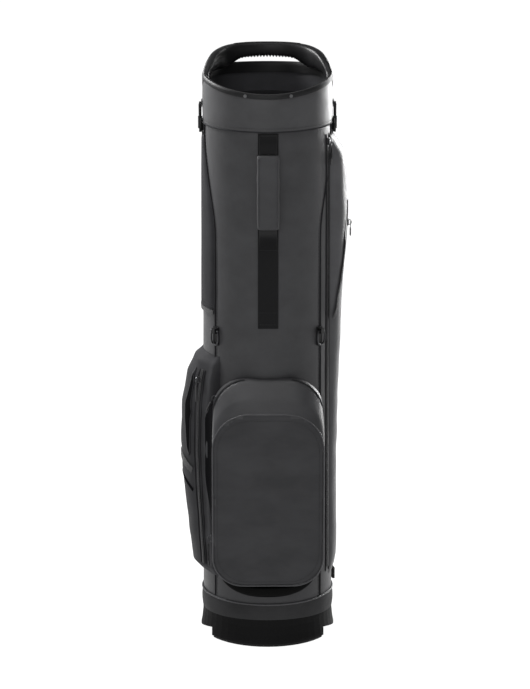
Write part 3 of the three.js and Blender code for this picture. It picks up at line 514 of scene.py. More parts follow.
def spin(name: str, profile: Profile, finish: Finish, body: str = ROOT, sides: int = 96,
         place: Matrix | None = None, sharp: float = 35.0):
    """A closed (radius, height) profile turned about Z, then put in its place."""
    rings = []
    for k in range(sides):
        a = 2 * math.pi * k / sides
        rings.append([Vector((r * math.cos(a), r * math.sin(a), z)) for r, z in profile])
    skin = Skin()
    skin.torus(rings)
    if place is not None:
        skin.points = [place @ p for p in skin.points]
    return skin.made(name, finish, body, sharp)


def stitches(name: str, path: Sequence[Vector], facing: Callable[[int], Vector],
             body: str = ROOT, pitch: float = 0.0042) -> bpy.types.Object:
    """A run of raised thread stitches along a path.

    Args:
        name: the piece's name.
        path: the seam's line, on the cloth.
        facing: the outward direction at a path point's number.
        body: the CAD body that it moves with.
        pitch: the length of one stitch and its gap.

    Returns:
        The row of stitches.
    """
    skin = Skin()
    travelled, due = 0.0, 0.0
    for k in range(len(path) - 1):
        step = path[k + 1] - path[k]
        while due <= travelled + step.length and step.length > 0:
            start = path[k] + step * ((due - travelled) / step.length)
            along, out = step.normalized(), facing(k)
            across = along.cross(out).normalized()
            rings = []
            for t, r in ((0, 0.15), (0.12, 0.8), (0.5, 1), (0.88, 0.8), (1, 0.15)):
                centre = start + along * (t * pitch * 0.62) + out * mm(0.12)
                rings.append([centre + (across * math.cos(a) + out * math.sin(a)) * r * mm(0.38)
                              for a in (0, 1.257, 2.513, 3.77, 5.027)])
            skin.loft(rings)
            due += pitch
        travelled += step.length
    return skin.made(name, THREAD, body)


def crease(point: Vector, size: float, depth: float) -> float:
    """How far cloth wanders at a point: soft hollows about size across."""
    return depth * noise.noise(point / size)


@dataclass(frozen=True)
class Filling:
    """Swells a closed cloth form by a short cloth simulation with its seams held."""

    voxel: float = 0.005
    pressure: float = 4.0
    frames: int = 20
    cap: float = 0.004

    def puff(self, piece: bpy.types.Object, held: Callable[[Vector], bool]) -> None:
        """Remeshes the piece, blows it up and applies the result.

        Args:
            piece: a closed form, a little smaller than the filled one.
            held: whether a point is sewn down and stays.
        """
        grid = piece.modifiers.new("grid", "REMESH")
        grid.mode, grid.voxel_size, grid.use_smooth_shade = "VOXEL", self.voxel, True
        self.apply(piece)
        rest = [v.co.copy() for v in piece.data.vertices]
        pins = piece.vertex_groups.new(name="held")
        pins.add([k for k, p in enumerate(rest) if held(p)], 1.0, "REPLACE")
        cloth = piece.modifiers.new("filling", "CLOTH")
        cloth.settings.vertex_group_mass = "held"
        cloth.settings.use_pressure = True
        cloth.settings.uniform_pressure_force = self.pressure
        cloth.settings.effector_weights.gravity = 0.0
        cloth.point_cache.frame_start, cloth.point_cache.frame_end = 1, self.frames
        scene = bpy.context.scene
        for frame_number in range(1, self.frames + 1):
            scene.frame_set(frame_number)
        self.apply(piece)
        moved = 0.0
        for point, start in zip(piece.data.vertices, rest):
            step = point.co - start
            if step.length > self.cap:
                point.co = start + step * (self.cap / step.length)
            moved = max(moved, step.length)
        scene.frame_set(1)
        piece.vertex_groups.clear()
        piece.modifiers.new("soften", "SUBSURF").levels = 1
        LOG.info("%s filled, furthest step %.1f mm", piece.name, moved * 1000)

    @staticmethod
    def apply(piece: bpy.types.Object) -> None:
        """Takes the piece's modified mesh as its own and drops the modifiers."""
        graph = bpy.context.evaluated_depsgraph_get()
        made = bpy.data.meshes.new_from_object(piece.evaluated_get(graph))
        piece.modifiers.clear()
        piece.data = made


# ---------------------------------------------------------------- the bag's own shape


class BagShape:
    """Radii and heights read from the frame, which every sub-assembly is built on."""

    def __init__(self) -> None:
        """Reads the shell, the collar and the cuff."""
        low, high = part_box("body_shell")
        self.bottom, self.top = low.z, high.z
        self.low_radius = high.x
        shell = frame["nodes"]["body_shell"].data.vertices
        self.top_radius = max(v.co.x for v in shell if v.co.z > self.top - mm(1))
        self.wall = self.top_radius - min(
            math.hypot(v.co.x, v.co.y) for v in shell if v.co.z > self.top - mm(1))
        self.collar_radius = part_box("collar")[1].x
        self.cuff_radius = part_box("base_cuff")[1].x
        self.cuff_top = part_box("base_cuff")[1].z
        rim = [v.co for v in frame["nodes"]["collar"].data.vertices]
        self.rim_front = max(p.z for p in rim if p.y < -self.collar_radius + mm(4))
        self.rim_back = max(p.z for p in rim if p.y > self.collar_radius - mm(4))
        self.rim_side = max(p.z for p in rim if abs(p.y) < mm(2))

    def radius(self, z: float) -> float:
        """The shell's outer radius at a height."""
        t = (z - self.bottom) / (self.top - self.bottom)
        return lerp(self.low_radius, self.top_radius, t)

    def on(self, degrees: float, z: float, out: float = 0.0) -> Vector:
        """A point on the shell at an angle from +X, and a distance out from it."""
        r, a = self.radius(z) + out, math.radians(degrees)
        return Vector((r * math.cos(a), r * math.sin(a), z))

    def seam(self, z: float) -> float:
        """Degrees from the sides to the front seams, which swing outward under the collar."""
        return lerp(36.0, 12.0, smooth((z - mm(625)) / mm(165)))

    def collar_edge(self, y: float) -> float:
        """The collar's top edge, seen from the side: height over y."""
        t = y / self.collar_radius
        bend = (self.rim_front + self.rim_back) / 2 - self.rim_side
        return self.rim_side + (self.rim_back - self.rim_front) / 2 * t + bend * t * t


def radial(path: Sequence[Vector]) -> Callable[[int], Vector]:
    """A facing straight out from the bag's axis."""
    return lambda k: Vector((path[k].x, path[k].y, 0)).normalized()


@dataclass
class Shell:
    """The cloth tube with its liner, its welted seams and the base cuff."""

    shape: BagShape
    welt: float = 0.0013
    around: int = 160
    rows: int = 150

    def build(self) -> None:
        """Makes the tube, the seams, the panel and the cuff."""
        self.tube()
        self.seams()
        self.side_panel()
        self.cuff()

    def drawn(self, a: float, z: float) -> float:
        """How far the cloth stands off its liner: hollows beside the welts, soft creases."""
        shape = self.shape
        out = 0.0
        for seam in (-shape.seam(z), 180 + shape.seam(z)):
            off = math.degrees(a) - seam
            off = (off + 180) % 360 - 180
            out -= mm(0.5) * math.exp(-(off / 2.2) ** 2)
        place = Vector((math.cos(a) * 0.1, math.sin(a) * 0.1, z * 0.55))
        out += crease(place, 0.05, mm(0.55)) + crease(place, 0.017, mm(0.14))
        out -= mm(0.8) * math.exp(-((shape.top - z) / mm(7)) ** 2)
        return out

    def tube(self) -> None:
        """The outer cloth and the inner lining as one closed wall."""
        shape = self.shape
        levels = [lerp(shape.bottom, shape.top, k / self.rows) for k in range(self.rows + 1)]
        rings = []
        for k in range(self.around):
            a = 2 * math.pi * k / self.around
            ray = Vector((math.cos(a), math.sin(a), 0))
            outer = [ray * (shape.radius(z) + self.drawn(a, z)) + Vector((0, 0, z)) for z in levels]
            rings.append(outer)
        skin = Skin()
        inner = []
        for k in range(self.around):
            a = 2 * math.pi * k / self.around
            ray = Vector((math.cos(a), math.sin(a), 0))
            inner.append([ray * (shape.radius(z) - shape.wall) + Vector((0, 0, z))
                          for z in reversed(levels[::10])])
        skin.torus([outer + lining for outer, lining in zip(rings, inner)])
        piece = skin.made("body_cloth", BODY_CLOTH)
        piece.data.materials.append(LINING.material())
        limit = shape.radius(shape.top) - shape.wall * 0.6
        for face in piece.data.polygons:
            if math.hypot(face.center.x, face.center.y) < limit:
                face.material_index = 1
        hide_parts("body_shell")

    def seams(self) -> None:
        """Two welted seams up the front corners, with a line of stitches inside each."""
        shape = self.shape
        for side, s in SIDES:
            levels = [lerp(shape.cuff_top, shape.top, k / 90) for k in range(91)]
            path = [shape.on(-90 + s * (90 - shape.seam(z)), z, mm(0.1)) for z in levels]
            rings = sweep(path, disc(self.welt, 8), radial(path))
            skin = Skin()
            skin.loft(rings)
            skin.made(f"body_welt_{side}", SEAM_CLOTH)
            shifted = [shape.on(-90 + s * (87.4 - shape.seam(z)), z, -mm(0.1)) for z in levels]
            stitches(f"body_stitches_{side}", shifted, radial(shifted), pitch=0.005)

    def side_panel(self) -> None:
        """The flat pocket high on the left, with a bound hem and edge stitching."""
        low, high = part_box("side_panel")
        shape, thick = self.shape, mm(2.2)
        first = 146.0
        rings = []
        columns = 40
        for k in range(columns + 1):
            u = k / columns
            edge = min(1.0, min(u, 1 - u) * 14)
            lift = mm(0.3) + thick * math.sqrt(edge)
            outer = []
            for i in range(61):
                z = lerp(low.z, high.z, i / 60)
                ends = min(1.0, min(i, 60 - i) / 1.5)
                fullness = crease(Vector((u * 0.2, 0, z * 0.5)), 0.04, mm(0.5))
                angle = lerp(first, 179.2 + shape.seam(z), u)
                outer.append(shape.on(angle, z, mm(0.3) + (lift + fullness) * math.sqrt(ends)))
            back = [p - Vector((p.x, p.y, 0)).normalized()
                    * (math.hypot(p.x, p.y) - shape.radius(p.z) - mm(0.15)) for p in reversed(outer)]
            rings.append(outer + back)
        skin = Skin()
        skin.loft(rings)
        panel = skin.made("side_panel_cloth", PANEL_CLOTH)
        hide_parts("side_panel")
        last = 179.2 + shape.seam(low.z)
        hem = [shape.on(lerp(first, last, k / 40), low.z + mm(2), mm(2.6)) for k in range(41)]
        skin = Skin()
        skin.loft(sweep(hem, slab(mm(7), mm(0.9)), radial(hem)))
        skin.made("side_panel_hem", STRAP_GREY)
        for drop, name in ((mm(9), "hem"), (mm(12), "hem_second")):
            line = [p + Vector((0, 0, drop)) for p in hem]
            stitches(f"side_panel_{name}_stitches", line, radial(line))

    def cuff(self) -> None:
        """The grey cuff over the base, with a welt round its top in pale piping cloth, lightened as a
        painted highlight, and a rolled lower edge.
        """
        shape = self.shape
        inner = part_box("body_shell")[1].x + mm(0.3)
        cad = [v.co for v in frame["nodes"]["base_cuff"].data.vertices]
        low_front = min(p.z for p in cad if abs(p.x) < mm(8))
        low_side = min(p.z for p in cad if abs(p.y) < mm(8))
        outer = shape.cuff_radius
        rings = []
        for k in range(120):
            a = 2 * math.pi * k / 120
            ray = Vector((math.cos(a), math.sin(a), 0))
            low = lerp(low_front, low_side, math.cos(a) ** 2)
            high = shape.cuff_top
            ring = []
            for i in range(13):
                t = i / 12
                z = lerp(low, high, t)
                wander = crease(ray * 0.1 + Vector((0, 0, z)), 0.02, mm(0.4))
                full = mm(1.1) * math.sin(math.pi * t) + wander
                ring.append(ray * (outer - mm(0.7) + full) + Vector((0, 0, z)))
            ring += [ray * inner + Vector((0, 0, high)), ray * inner + Vector((0, 0, low))]
            rings.append(ring)
        skin = Skin()
        skin.torus(rings)
        cuff = skin.made("cuff_cloth_band", CUFF_CLOTH)
        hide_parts("base_cuff")
        ring = [Vector((math.cos(a) * (outer - mm(0.6)), math.sin(a) * (outer - mm(0.6)),
                        shape.cuff_top))
                for a in (2 * math.pi * k / 60 for k in range(60))]
        # The welt in pale piping cloth carries a painted highlight.
        cord_piece("cuff_welt", ring, mm(1.5), PIPING_PAINTED_HIGHLIGHT, step=0.006, closed=True)
        row = [p + Vector((0, 0, -mm(6))) + p.normalized() * mm(0.2) for p in ring + ring[:1]]
        stitches("cuff_stitches", row, radial(row))


@dataclass
class Top:
    """The collar, the moulded rim with its rear handle, and the padded divider."""

    shape: BagShape
    around: int = 144
    rim_height: float = 0.0071
    rim_wall: float = 0.007
    scallop: float = 0.0048

    def build(self) -> None:
        """Makes the collar, rim, handle and divider."""
        self.collar()
        self.rim()
        self.handle()
        self.divider()

    def collar(self) -> None:
        """A padded cuff that bellies a little, with a welt and stitches at its lower seam."""
        shape = self.shape
        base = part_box("collar")[0].z
        inner = shape.top_radius - shape.wall
        rings = []
        for k in range(self.around):
            a = 2 * math.pi * k / self.around
            ray = Vector((math.cos(a), math.sin(a), 0))
            top = shape.collar_edge(ray.y * shape.collar_radius)
            ring = []
            for i in range(31):
                t = i / 30
                z = lerp(base, top, t)
                belly = mm(0.9) * math.sin(math.pi * t) ** 0.6 - mm(0.9)
                wander = crease(ray * 0.1 + Vector((0, 0, z)), 0.05, mm(0.5))
                wander *= math.sin(math.pi * t)
                ring.append(ray * (shape.collar_radius + belly + wander) + Vector((0, 0, z)))
            ring += [ray * inner + Vector((0, 0, lerp(top, base, t))) for t in (0, 0.33, 0.66, 1)]
            rings.append(ring)
        skin = Skin()
        skin.torus(rings)
        piece = skin.made("collar_cloth_band", COLLAR_CLOTH)
        piece.data.materials.append(TOP_LINING.material())
        for face in piece.data.polygons:
            if math.hypot(face.center.x, face.center.y) < inner + mm(1.4):
                face.material_index = 1
        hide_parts("collar")
        seam = [shape.on(3 * k, base - mm(0.2), mm(0.5)) for k in range(120)]
        cord_piece("collar_welt", seam, mm(1.0), PANEL_CLOTH, step=0.006, closed=True)
        row = [Vector((p.x * 1.008, p.y * 1.008, base + mm(5))) for p in seam + seam[:1]]
        stitches("collar_stitches", row, radial(row))

    def rim(self) -> None:
        """The moulded hoop: a rounded lip outside and a skirt inside the collar."""
        shape = self.shape
        outer = shape.collar_radius + mm(0.1)
        inner = outer - self.rim_wall
        h = self.rim_height
        profile = [(outer, 0.0), (outer + mm(0.3), h * 0.35), (outer - mm(0.2), h * 0.75),
                   (outer - mm(1.6), h * 1.0), (inner + mm(2.2), h * 1.0),
                   (inner + mm(0.4), h * 0.7), (inner, h * 0.2), (inner, -mm(9)),
                   (inner + mm(2.0), -mm(9)), (inner + mm(2.2), 0.0)]
        rings = []
        for k in range(self.around):
            a = 2 * math.pi * k / self.around
            ray = Vector((math.cos(a), math.sin(a), 0))
            edge = shape.collar_edge(ray.y * shape.collar_radius) + mm(0.3)
            rings.append([ray * r + Vector((0, 0, edge + z)) for r, z in profile])
        skin = Skin()
        skin.torus(rings)
        rim = skin.made("rim_hoop", RIM_PLASTIC)
        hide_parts("top_rim")

    def handle(self) -> None:
        """The rear grab handle: it rises from two ears and arches over the back of the rim."""
        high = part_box("top_rim")[1].z
        middle = high - mm(10.5)
        half = [(-91, -12, -36), (-90.5, 1, -27), (-85, 14, -16), (-75, 34, -6), (-59, 56, -1.5),
                (-34, 71, 0)]
        left = [Vector((mm(x), mm(y), middle + mm(z))) for x, y, z in half]
        right = [Vector((-p.x, p.y, p.z)) for p in reversed(left)]
        path = curve_through([*left, Vector((0, mm(77), middle)), *right], 0.0009)
        rings = []
        count = len(path)
        for k, centre in enumerate(path):
            t = abs(2 * k / (count - 1) - 1)
            along = (path[min(k + 1, count - 1)] - path[max(k - 1, 0)]).normalized()
            out = Vector((centre.x, centre.y, 0)).normalized()
            up = along.cross(out).normalized()
            up = up if up.z >= 0 or abs(up.z) < 0.3 and up.y < 0 else -up
            thick = mm(15) - mm(6) * t ** 3
            tall = mm(21) - mm(3) * t ** 2
            wave = mm(1.5) * math.cos(2 * math.pi * centre.x / self.scallop)
            grip = smooth((mm(46) - abs(centre.x)) / mm(8))
            under = max(0.0, centre.z - tall / 2 - self.shape.collar_edge(centre.y) - mm(2))
            under *= smooth((abs(centre.x) - mm(34)) / mm(38))
            ring = []
            for i in range(20):
                a = 2 * math.pi * i / 20
                c, s = math.cos(a), math.sin(a)
                u = math.copysign(abs(c) ** 0.55, c) * thick / 2
                v = math.copysign(abs(s) ** 0.55, s) * tall / 2
                if v < 0:
                    v += (wave * grip + under) * s
                ring.append(centre + out * u + up * v)
            rings.append(ring)
        skin = Skin()
        skin.loft(rings)
        skin.made("rear_handle", MOULDING)
        self.grip_ribs(path)

    def grip_ribs(self, path: Sequence[Vector]) -> None:
        """Raised lines along the top of the handle's soft grip."""
        held = [p for p in path if abs(p.x) < mm(48)]
        for number, shift in enumerate((-3.2, 0, 3.2)):
            line = []
            for p in held:
                out = Vector((p.x, p.y, 0)).normalized()
                line.append(p + out * mm(shift) + Vector((0, 0, mm(10.2))))
            rings = sweep(line, disc(mm(0.55), 6), lambda k: Vector((0, 0, 1)))
            skin = Skin()
            skin.loft(rings)
            skin.made(f"handle_rib_{number}", FOOT)

    def divider(self) -> None:
        """Padded sleeves over the divider's hoop and cross; the webs below are the CAD node, dressed
        with the hardware.
        """
        low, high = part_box("divider_top")
        hoop, bar = high.x - mm(3), mm(4.6)
        section = [(bar * math.cos(a), (high.z - low.z) / 2 * math.sin(a)) for a in
                   (2 * math.pi * i / 14 for i in range(14))]
        middle = (low.z + high.z) / 2
        for name, ray in (("across", Vector((1, 0, 0))), ("along", Vector((0, 1, 0)))):
            sag = mm(7) if name == "along" else mm(1)
            path = [ray * lerp(-hoop, hoop, k / 60) + Vector((0, 0, middle - sag))
                    for k in range(61)]
            rings = sweep(path, section, lambda k: Vector((0, 0, 1)))
            skin = Skin()
            skin.loft(rings)
            piece = skin.made(f"divider_sleeve_{name}", LINING)
            if name == "across":
                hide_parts("divider_top")
        path = [Vector((hoop * math.cos(a), hoop * math.sin(a), middle)) for a in
                (2 * math.pi * k / 96 for k in range(96))]
        rings = sweep(path, [(u * 9 / 11, v * 0.5) for v, u in section], radial(path), closed=True)
        skin = Skin()
        skin.torus(rings)
        piece = skin.made("divider_hoop_sleeve", LINING)


# ---------------------------------------------------------------- zips


def zip_run(name: str, path: Sequence[Vector], facing: Callable[[int], Vector],
            tape: float = 0.011, body: str = ROOT) -> None:
    """A closed zip: its woven tape with two rows of interlocked teeth.

    Args:
        name: the zip's name.
        path: its line on the cloth.
        facing: the outward direction at a path point's number.
        tape: the tape's visible width.
        body: the CAD body that it moves with.
    """
    skin = Skin()
    skin.loft(sweep(path, slab(tape, mm(0.5)), facing))
    skin.made(f"{name}_tape", ZIP_TAPE, body)
    teeth = Skin()
    pitch, due, travelled, row = mm(2.4), 0.0, 0.0, 1
    for k in range(len(path) - 1):
        step = path[k + 1] - path[k]
        while step.length > 0 and due <= travelled + step.length:
            at = path[k] + step * ((due - travelled) / step.length)
            along, out = step.normalized(), facing(k)
            across = along.cross(out).normalized()
            rings = []
            for w in (-0.2, 1.9):
                base = at + across * mm(w) * row
                rings.append([base + along * mm(0.55 * i) + out * mm(h)
                              for i, h in ((-1, 0.4), (1, 0.4), (1, 1.1), (-1, 1.1))])
            teeth.loft(rings)
            due += pitch / 2
            row = -row
        travelled += step.length
    teeth.made(f"{name}_teeth", ZIP_METAL, body)


@dataclass
class Puller:
    """A zip slider with its bridge, and the pull that hangs from it."""

    name: str
    corded: bool = False

    def build(self) -> None:
        """Makes both pieces over their CAD solids, each on its own body."""
        place = self.place()
        self.slider(place)
        self.pull(place)

    def place(self) -> Matrix:
        """The slider's own frame: X along its width, -Y outward, Z up."""
        low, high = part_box(f"{self.name}_slider")
        pull_low, pull_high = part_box(f"{self.name}_pull")
        joint = next(j for j in frame["joints"] if j["name"] == f"{self.name}_pull_hinge")
        axis = Vector(joint["axis"]).normalized()
        hinge = Vector(joint["pos_m"])
        hang = ((pull_low + pull_high) / 2 - hinge)
        hang -= axis * hang.dot(axis)
        down = hang.normalized()
        out = down.cross(axis).normalized()
        middle = (low + high) / 2
        if (hinge - middle).dot(out) < 0:
            out = -out
        across = down.cross(out)
        turn = Matrix((across, -out, -down)).transposed().to_4x4()
        return Matrix.Translation(hinge) @ turn

    def slider(self, place: Matrix) -> None:
        """A wedge-shaped body with a raised bridge."""
        skin = Skin()
        rows = ((-5.0, 2.6, 1.0), (-4.2, 3.3, 1.7), (0, 3.0, 2.0), (3.4, 3.5, 1.9), (5.0, 3.0, 1.2))
        rings = []
        for z, w, t in rows:
            rings.append([Vector((mm(x), mm(4.4 - y), mm(z))) for x, y in (
                (-w, 0), (w, 0), (w, t * 0.7), (w * 0.7, t), (-w * 0.7, t), (-w, t * 0.7))])
        skin.loft(rings)
        path = curve_through([Vector((0, mm(y), mm(z))) for y, z in (
            (2.6, -3.4), (0.6, -2.9), (-0.9, -1.2), (-1.0, 1.0), (0.6, 2.9), (2.6, 3.4))], mm(0.6))
        skin.loft(sweep(path, slab(mm(2.0), mm(0.8)), lambda k: self.away(path, k)))
        skin.points = [place @ p for p in skin.points]
        body = f"{self.name}_slider"
        piece = skin.made(f"{self.name}_slider_body", ZIP_METAL, body)
        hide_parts(body)

    @staticmethod
    def away(path: Sequence[Vector], k: int) -> Vector:
        """Out of the bridge's arch."""
        return (path[k] - Vector((0, mm(3), 0))).normalized()

    def pull(self, place: Matrix) -> None:
        """A link, then a grooved tab or a knotted cord loop."""
        low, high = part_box(f"{self.name}_pull")
        length = (high - low).z if self.name != "ball_upper" else mm(24)
        body = f"{self.name}_pull"
        link = curve_through([Vector((mm(x), 0, mm(z))) for x, z in (
            (0, 1.3), (1.5, 0.4), (1.6, -4), (1.2, -8.2), (0, -9), (-1.2, -8.2), (-1.6, -4),
            (-1.5, 0.4))], mm(0.8), closed=True)
        skin = Skin()
        skin.torus(sweep(link, disc(mm(0.55), 6), lambda k: Vector((0, -1, 0)), closed=True))
        skin.points = [place @ p for p in skin.points]
        piece = skin.made(f"{self.name}_pull_link", ZIP_METAL, body)
        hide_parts(body)
        if self.corded:
            self.loop(place, length, body)
        else:
            self.tab(place, length, body)

    def loop(self, place: Matrix, length: float, body: str) -> None:
        """A cord loop ending in a moulded tip."""
        end = -length + mm(8)
        path = curve_through([place @ Vector((mm(x), mm(y), z)) for x, y, z in (
            (0, -0.4, -mm(7.6)), (1.6, -0.6, -mm(10)), (2.6, -0.3, (end - mm(10)) / 2),
            (0.8, 0, end), (-0.8, 0, end), (-2.6, -0.3, (end - mm(10)) / 2),
            (-1.6, 0.2, -mm(10)))], mm(1.2), closed=True)
        skin = Skin()
        skin.torus(sweep(path, disc(mm(0.8), 7), any_side(path), closed=True))
        skin.made(f"{self.name}_pull_cord", STRAP, body)
        self.tip(place, end + mm(1.5), -length, mm(2.1), body)

    def tab(self, place: Matrix, length: float, body: str) -> None:
        """A moulded tab on the link."""
        self.tip(place, -mm(7.4), -length, mm(2.3), body)

    def tip(self, place: Matrix, top: float, bottom: float, half: float, body: str) -> None:
        """A rounded, grooved grip between two heights."""
        rings = []
        for i in range(25):
            t = i / 24
            ends = math.sqrt(max(0.0, 1 - (2 * t - 1) ** 6))
            groove = 1 - 0.13 * (0.5 + 0.5 * math.cos(2 * math.pi * 5 * t))
            w, d = half * ends + mm(0.15), mm(1.1) * ends * groove + mm(0.1)
            rings.append([place @ Vector((w * math.cos(a), d * math.sin(a), lerp(top, bottom, t)))
                          for a in (2 * math.pi * k / 14 for k in range(14))])
        skin = Skin()
        skin.loft(rings)
        skin.made(f"{self.name}_pull_grip", PULL_RUBBER, body)


# ---------------------------------------------------------------- pockets


def corner_outline(half: float, low: float, high: float, corner: float, toe: float,
                   dense: int = 12) -> list[tuple[float, float, float, float]]:
    """A round-cornered outline as (x, z, outward x, outward z), evenly sampled.

    Args:
        half: half its width.
        low: its lowest height.
        high: its highest height.
        corner: the upper corners' radius.
        toe: the lower corners' radius.
        dense: points in each corner.

    Returns:
        The outline, anticlockwise from the right side's top.
    """
    made = []
    corners = ((half - corner, high - corner, corner, 0.0),
               (-half + corner, high - corner, corner, 90.0),
               (-half + toe, low + toe, toe, 180.0), (half - toe, low + toe, toe, 270.0))
    for number, (cx, cz, r, start) in enumerate(corners):
        for i in range(dense + 1):
            a = math.radians(start + 90 * i / dense)
            made.append((cx + r * math.cos(a), cz + r * math.sin(a), math.cos(a), math.sin(a)))
        nx, nz, nr, turn = corners[(number + 1) % 4]
        a = math.radians(turn)
        target = (nx + nr * math.cos(a), nz + nr * math.sin(a))
        x, z, ox, oz = made[-1]
        gaps = 14 if number % 2 == 0 else 24
        for i in range(1, gaps):
            t = i / gaps
            made.append((lerp(x, target[0], t), lerp(z, target[1], t), ox, oz))
    return made


@dataclass
class BallPocket:
    """The big front pocket: a slanted face with a welted edge, a gusset and a zip round it."""

    shape: BagShape
    corner: float = 0.055
    toe: float = 0.045
    edge: float = 0.0015
    face_drop: float = 0.048
    slant: float = 0.019
    puff: float = 0.004
    zip_foot: float = 0.05
    zip_reach: float = 0.36
    zip_depth: float = 0.1005

    def __post_init__(self) -> None:
        """Reads the pocket's place from the frame."""
        self.low, self.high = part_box("ball_pocket")
        self.half = self.high.x
        self.front = -self.low.y

    def ring(self, y: float, inset: float, drop: float, lift: float, lean: float,
             shrink: float = 1.0) -> list[Vector]:
        """One outline of the pocket at a depth.

        Args:
            y: how far back from the face's plane it lies, as a row coordinate.
            inset: how much narrower it is than the widest outline.
            drop: how far its top lies below the highest.
            lift: how far its bottom lies above the lowest.
            lean: how much of the face's slant it takes.
            shrink: a scale about its own middle, for the face's inner rings.

        Returns:
            The outline's points.
        """
        low, high = self.low.z + lift, self.high.z - drop
        middle = (low + high) / 2
        made = []
        outline = corner_outline(self.half - inset, low, high, self.corner - inset, self.toe)
        for x, z, _, _ in outline:
            x, z = x * shrink, middle + (z - middle) * shrink
            down = (high - z) / (high - low)
            made.append(Vector((x, y + self.slant * lean * down, z)))
        return made

    def build(self) -> None:
        """Makes the pocket with its filling, its welt, its two zips and its stitching."""
        f = self.front
        rows = [(-mm(52), self.edge, 0, 0, 0), (-mm(80), self.edge, 0, 0, 0),
                (-mm(97), self.edge, 0, 0, 0), (-mm(104), self.edge, 0, 0, 0),
                (-mm(108), self.edge * 0.7, self.face_drop * 0.1, mm(0.4), 0.12),
                (-f + mm(22), mm(0.4), self.face_drop * 0.34, mm(1.4), 0.35),
                (-f + mm(13), mm(0), self.face_drop * 0.56, mm(2.2), 0.58),
                (-f + mm(6), mm(0.2), self.face_drop * 0.82, mm(2.8), 0.82),
                (-f + mm(3.4), mm(0.9), self.face_drop * 0.94, mm(3.3), 0.92),
                (-f + mm(1.4), mm(2.4), self.face_drop + mm(1.5), mm(4.6), 0.98)]
        rings = [self.ring(*row) for row in rows]
        last = rows[-1]
        for k in range(1, 14):
            s = 1 - k / 14
            flat = (-f + mm(1.4) - self.puff * (1 - s ** 2.4), *last[1:])
            rings.append(self.ring(*flat, shrink=max(s, 0.02)))
        for ring in rings[1:]:
            for p in ring:
                p += Vector((0, -1, 0)) * crease(p, 0.045, mm(0.9)) * smooth((-p.y - 0.1) / 0.03)
        for ring in rings:
            for p in ring:
                self.clear(p)
        skin = Skin()
        skin.loft(rings)
        pocket = skin.made("ball_pocket_cloth", FACE_CLOTH)
        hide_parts("ball_pocket")
        welt = [p + Vector((0, -mm(0.3), 0)) for p in self.ring(*rows[-2])]
        sewn = KDTree(len(welt))
        for k, p in enumerate(welt):
            sewn.insert(p, k)
        sewn.balance()
        Filling().puff(pocket, lambda p: p.y > -mm(106) or sewn.find(p)[2] < mm(8))
        self.side_cloth(pocket)
        # The welt in pale piping cloth is a painted highlight line along the face's edge.
        cord_piece("ball_pocket_welt", welt[::3], mm(1.1), PIPING_PAINTED_HIGHLIGHT, step=0.003, closed=True)
        row = self.ring(rows[-1][0], rows[-1][1] + mm(5), rows[-1][2] + mm(5),
                        rows[-1][3] + mm(5), 0.98)
        row = [p + Vector((0, crease(p, 0.045, -mm(0.9)) - mm(0.9), 0)) for p in row + row[:1]]
        stitches("ball_pocket_stitches", row, lambda k: Vector((0, -1, 0)))
        self.zip()

    def side_cloth(self, pocket: bpy.types.Object) -> None:
        """Gives the gusset behind the welt the body's own cloth."""
        pocket.data.materials.append(BODY_CLOTH.material())
        top = self.high.z - self.face_drop
        for face in pocket.data.polygons:
            down = min(1.0, max(0.0, (top - face.center.z) / (top - self.low.z)))
            if face.center.y > -self.front + self.slant * down + mm(2.5):
                face.material_index = 1

    def clear(self, p: Vector) -> None:
        """Keeps a point just off the shell."""
        r = self.shape.radius(p.z) + mm(0.3)
        if math.hypot(p.x, p.y) < r:
            p.y = -math.sqrt(max(r * r - p.x * p.x, 0.0))

    def zip(self) -> None:
        """The zip up both flanks; a storm flap covers it over the top."""
        outline = corner_outline(self.half - self.edge, self.low.z, self.high.z,
                                 self.corner - self.edge, self.toe)
        for side, s in SIDES:
            flank = [q for q in outline if q[1] > self.low.z + self.zip_foot
                     and s * q[0] > self.half * self.zip_reach]
            flank.sort(key=lambda q: math.atan2(q[1] - mm(200), s * q[0] + mm(60)))
            path = [Vector((x + ox * mm(0.1), -self.zip_depth, z + oz * mm(0.1)))
                    for x, z, ox, oz in flank]
            out = [Vector((ox, 0, oz)) for _, _, ox, oz in flank]
            zip_run(f"ball_zip_{side}", path, lambda k, out=out: out[min(k, len(out) - 1)],
                    tape=mm(7))


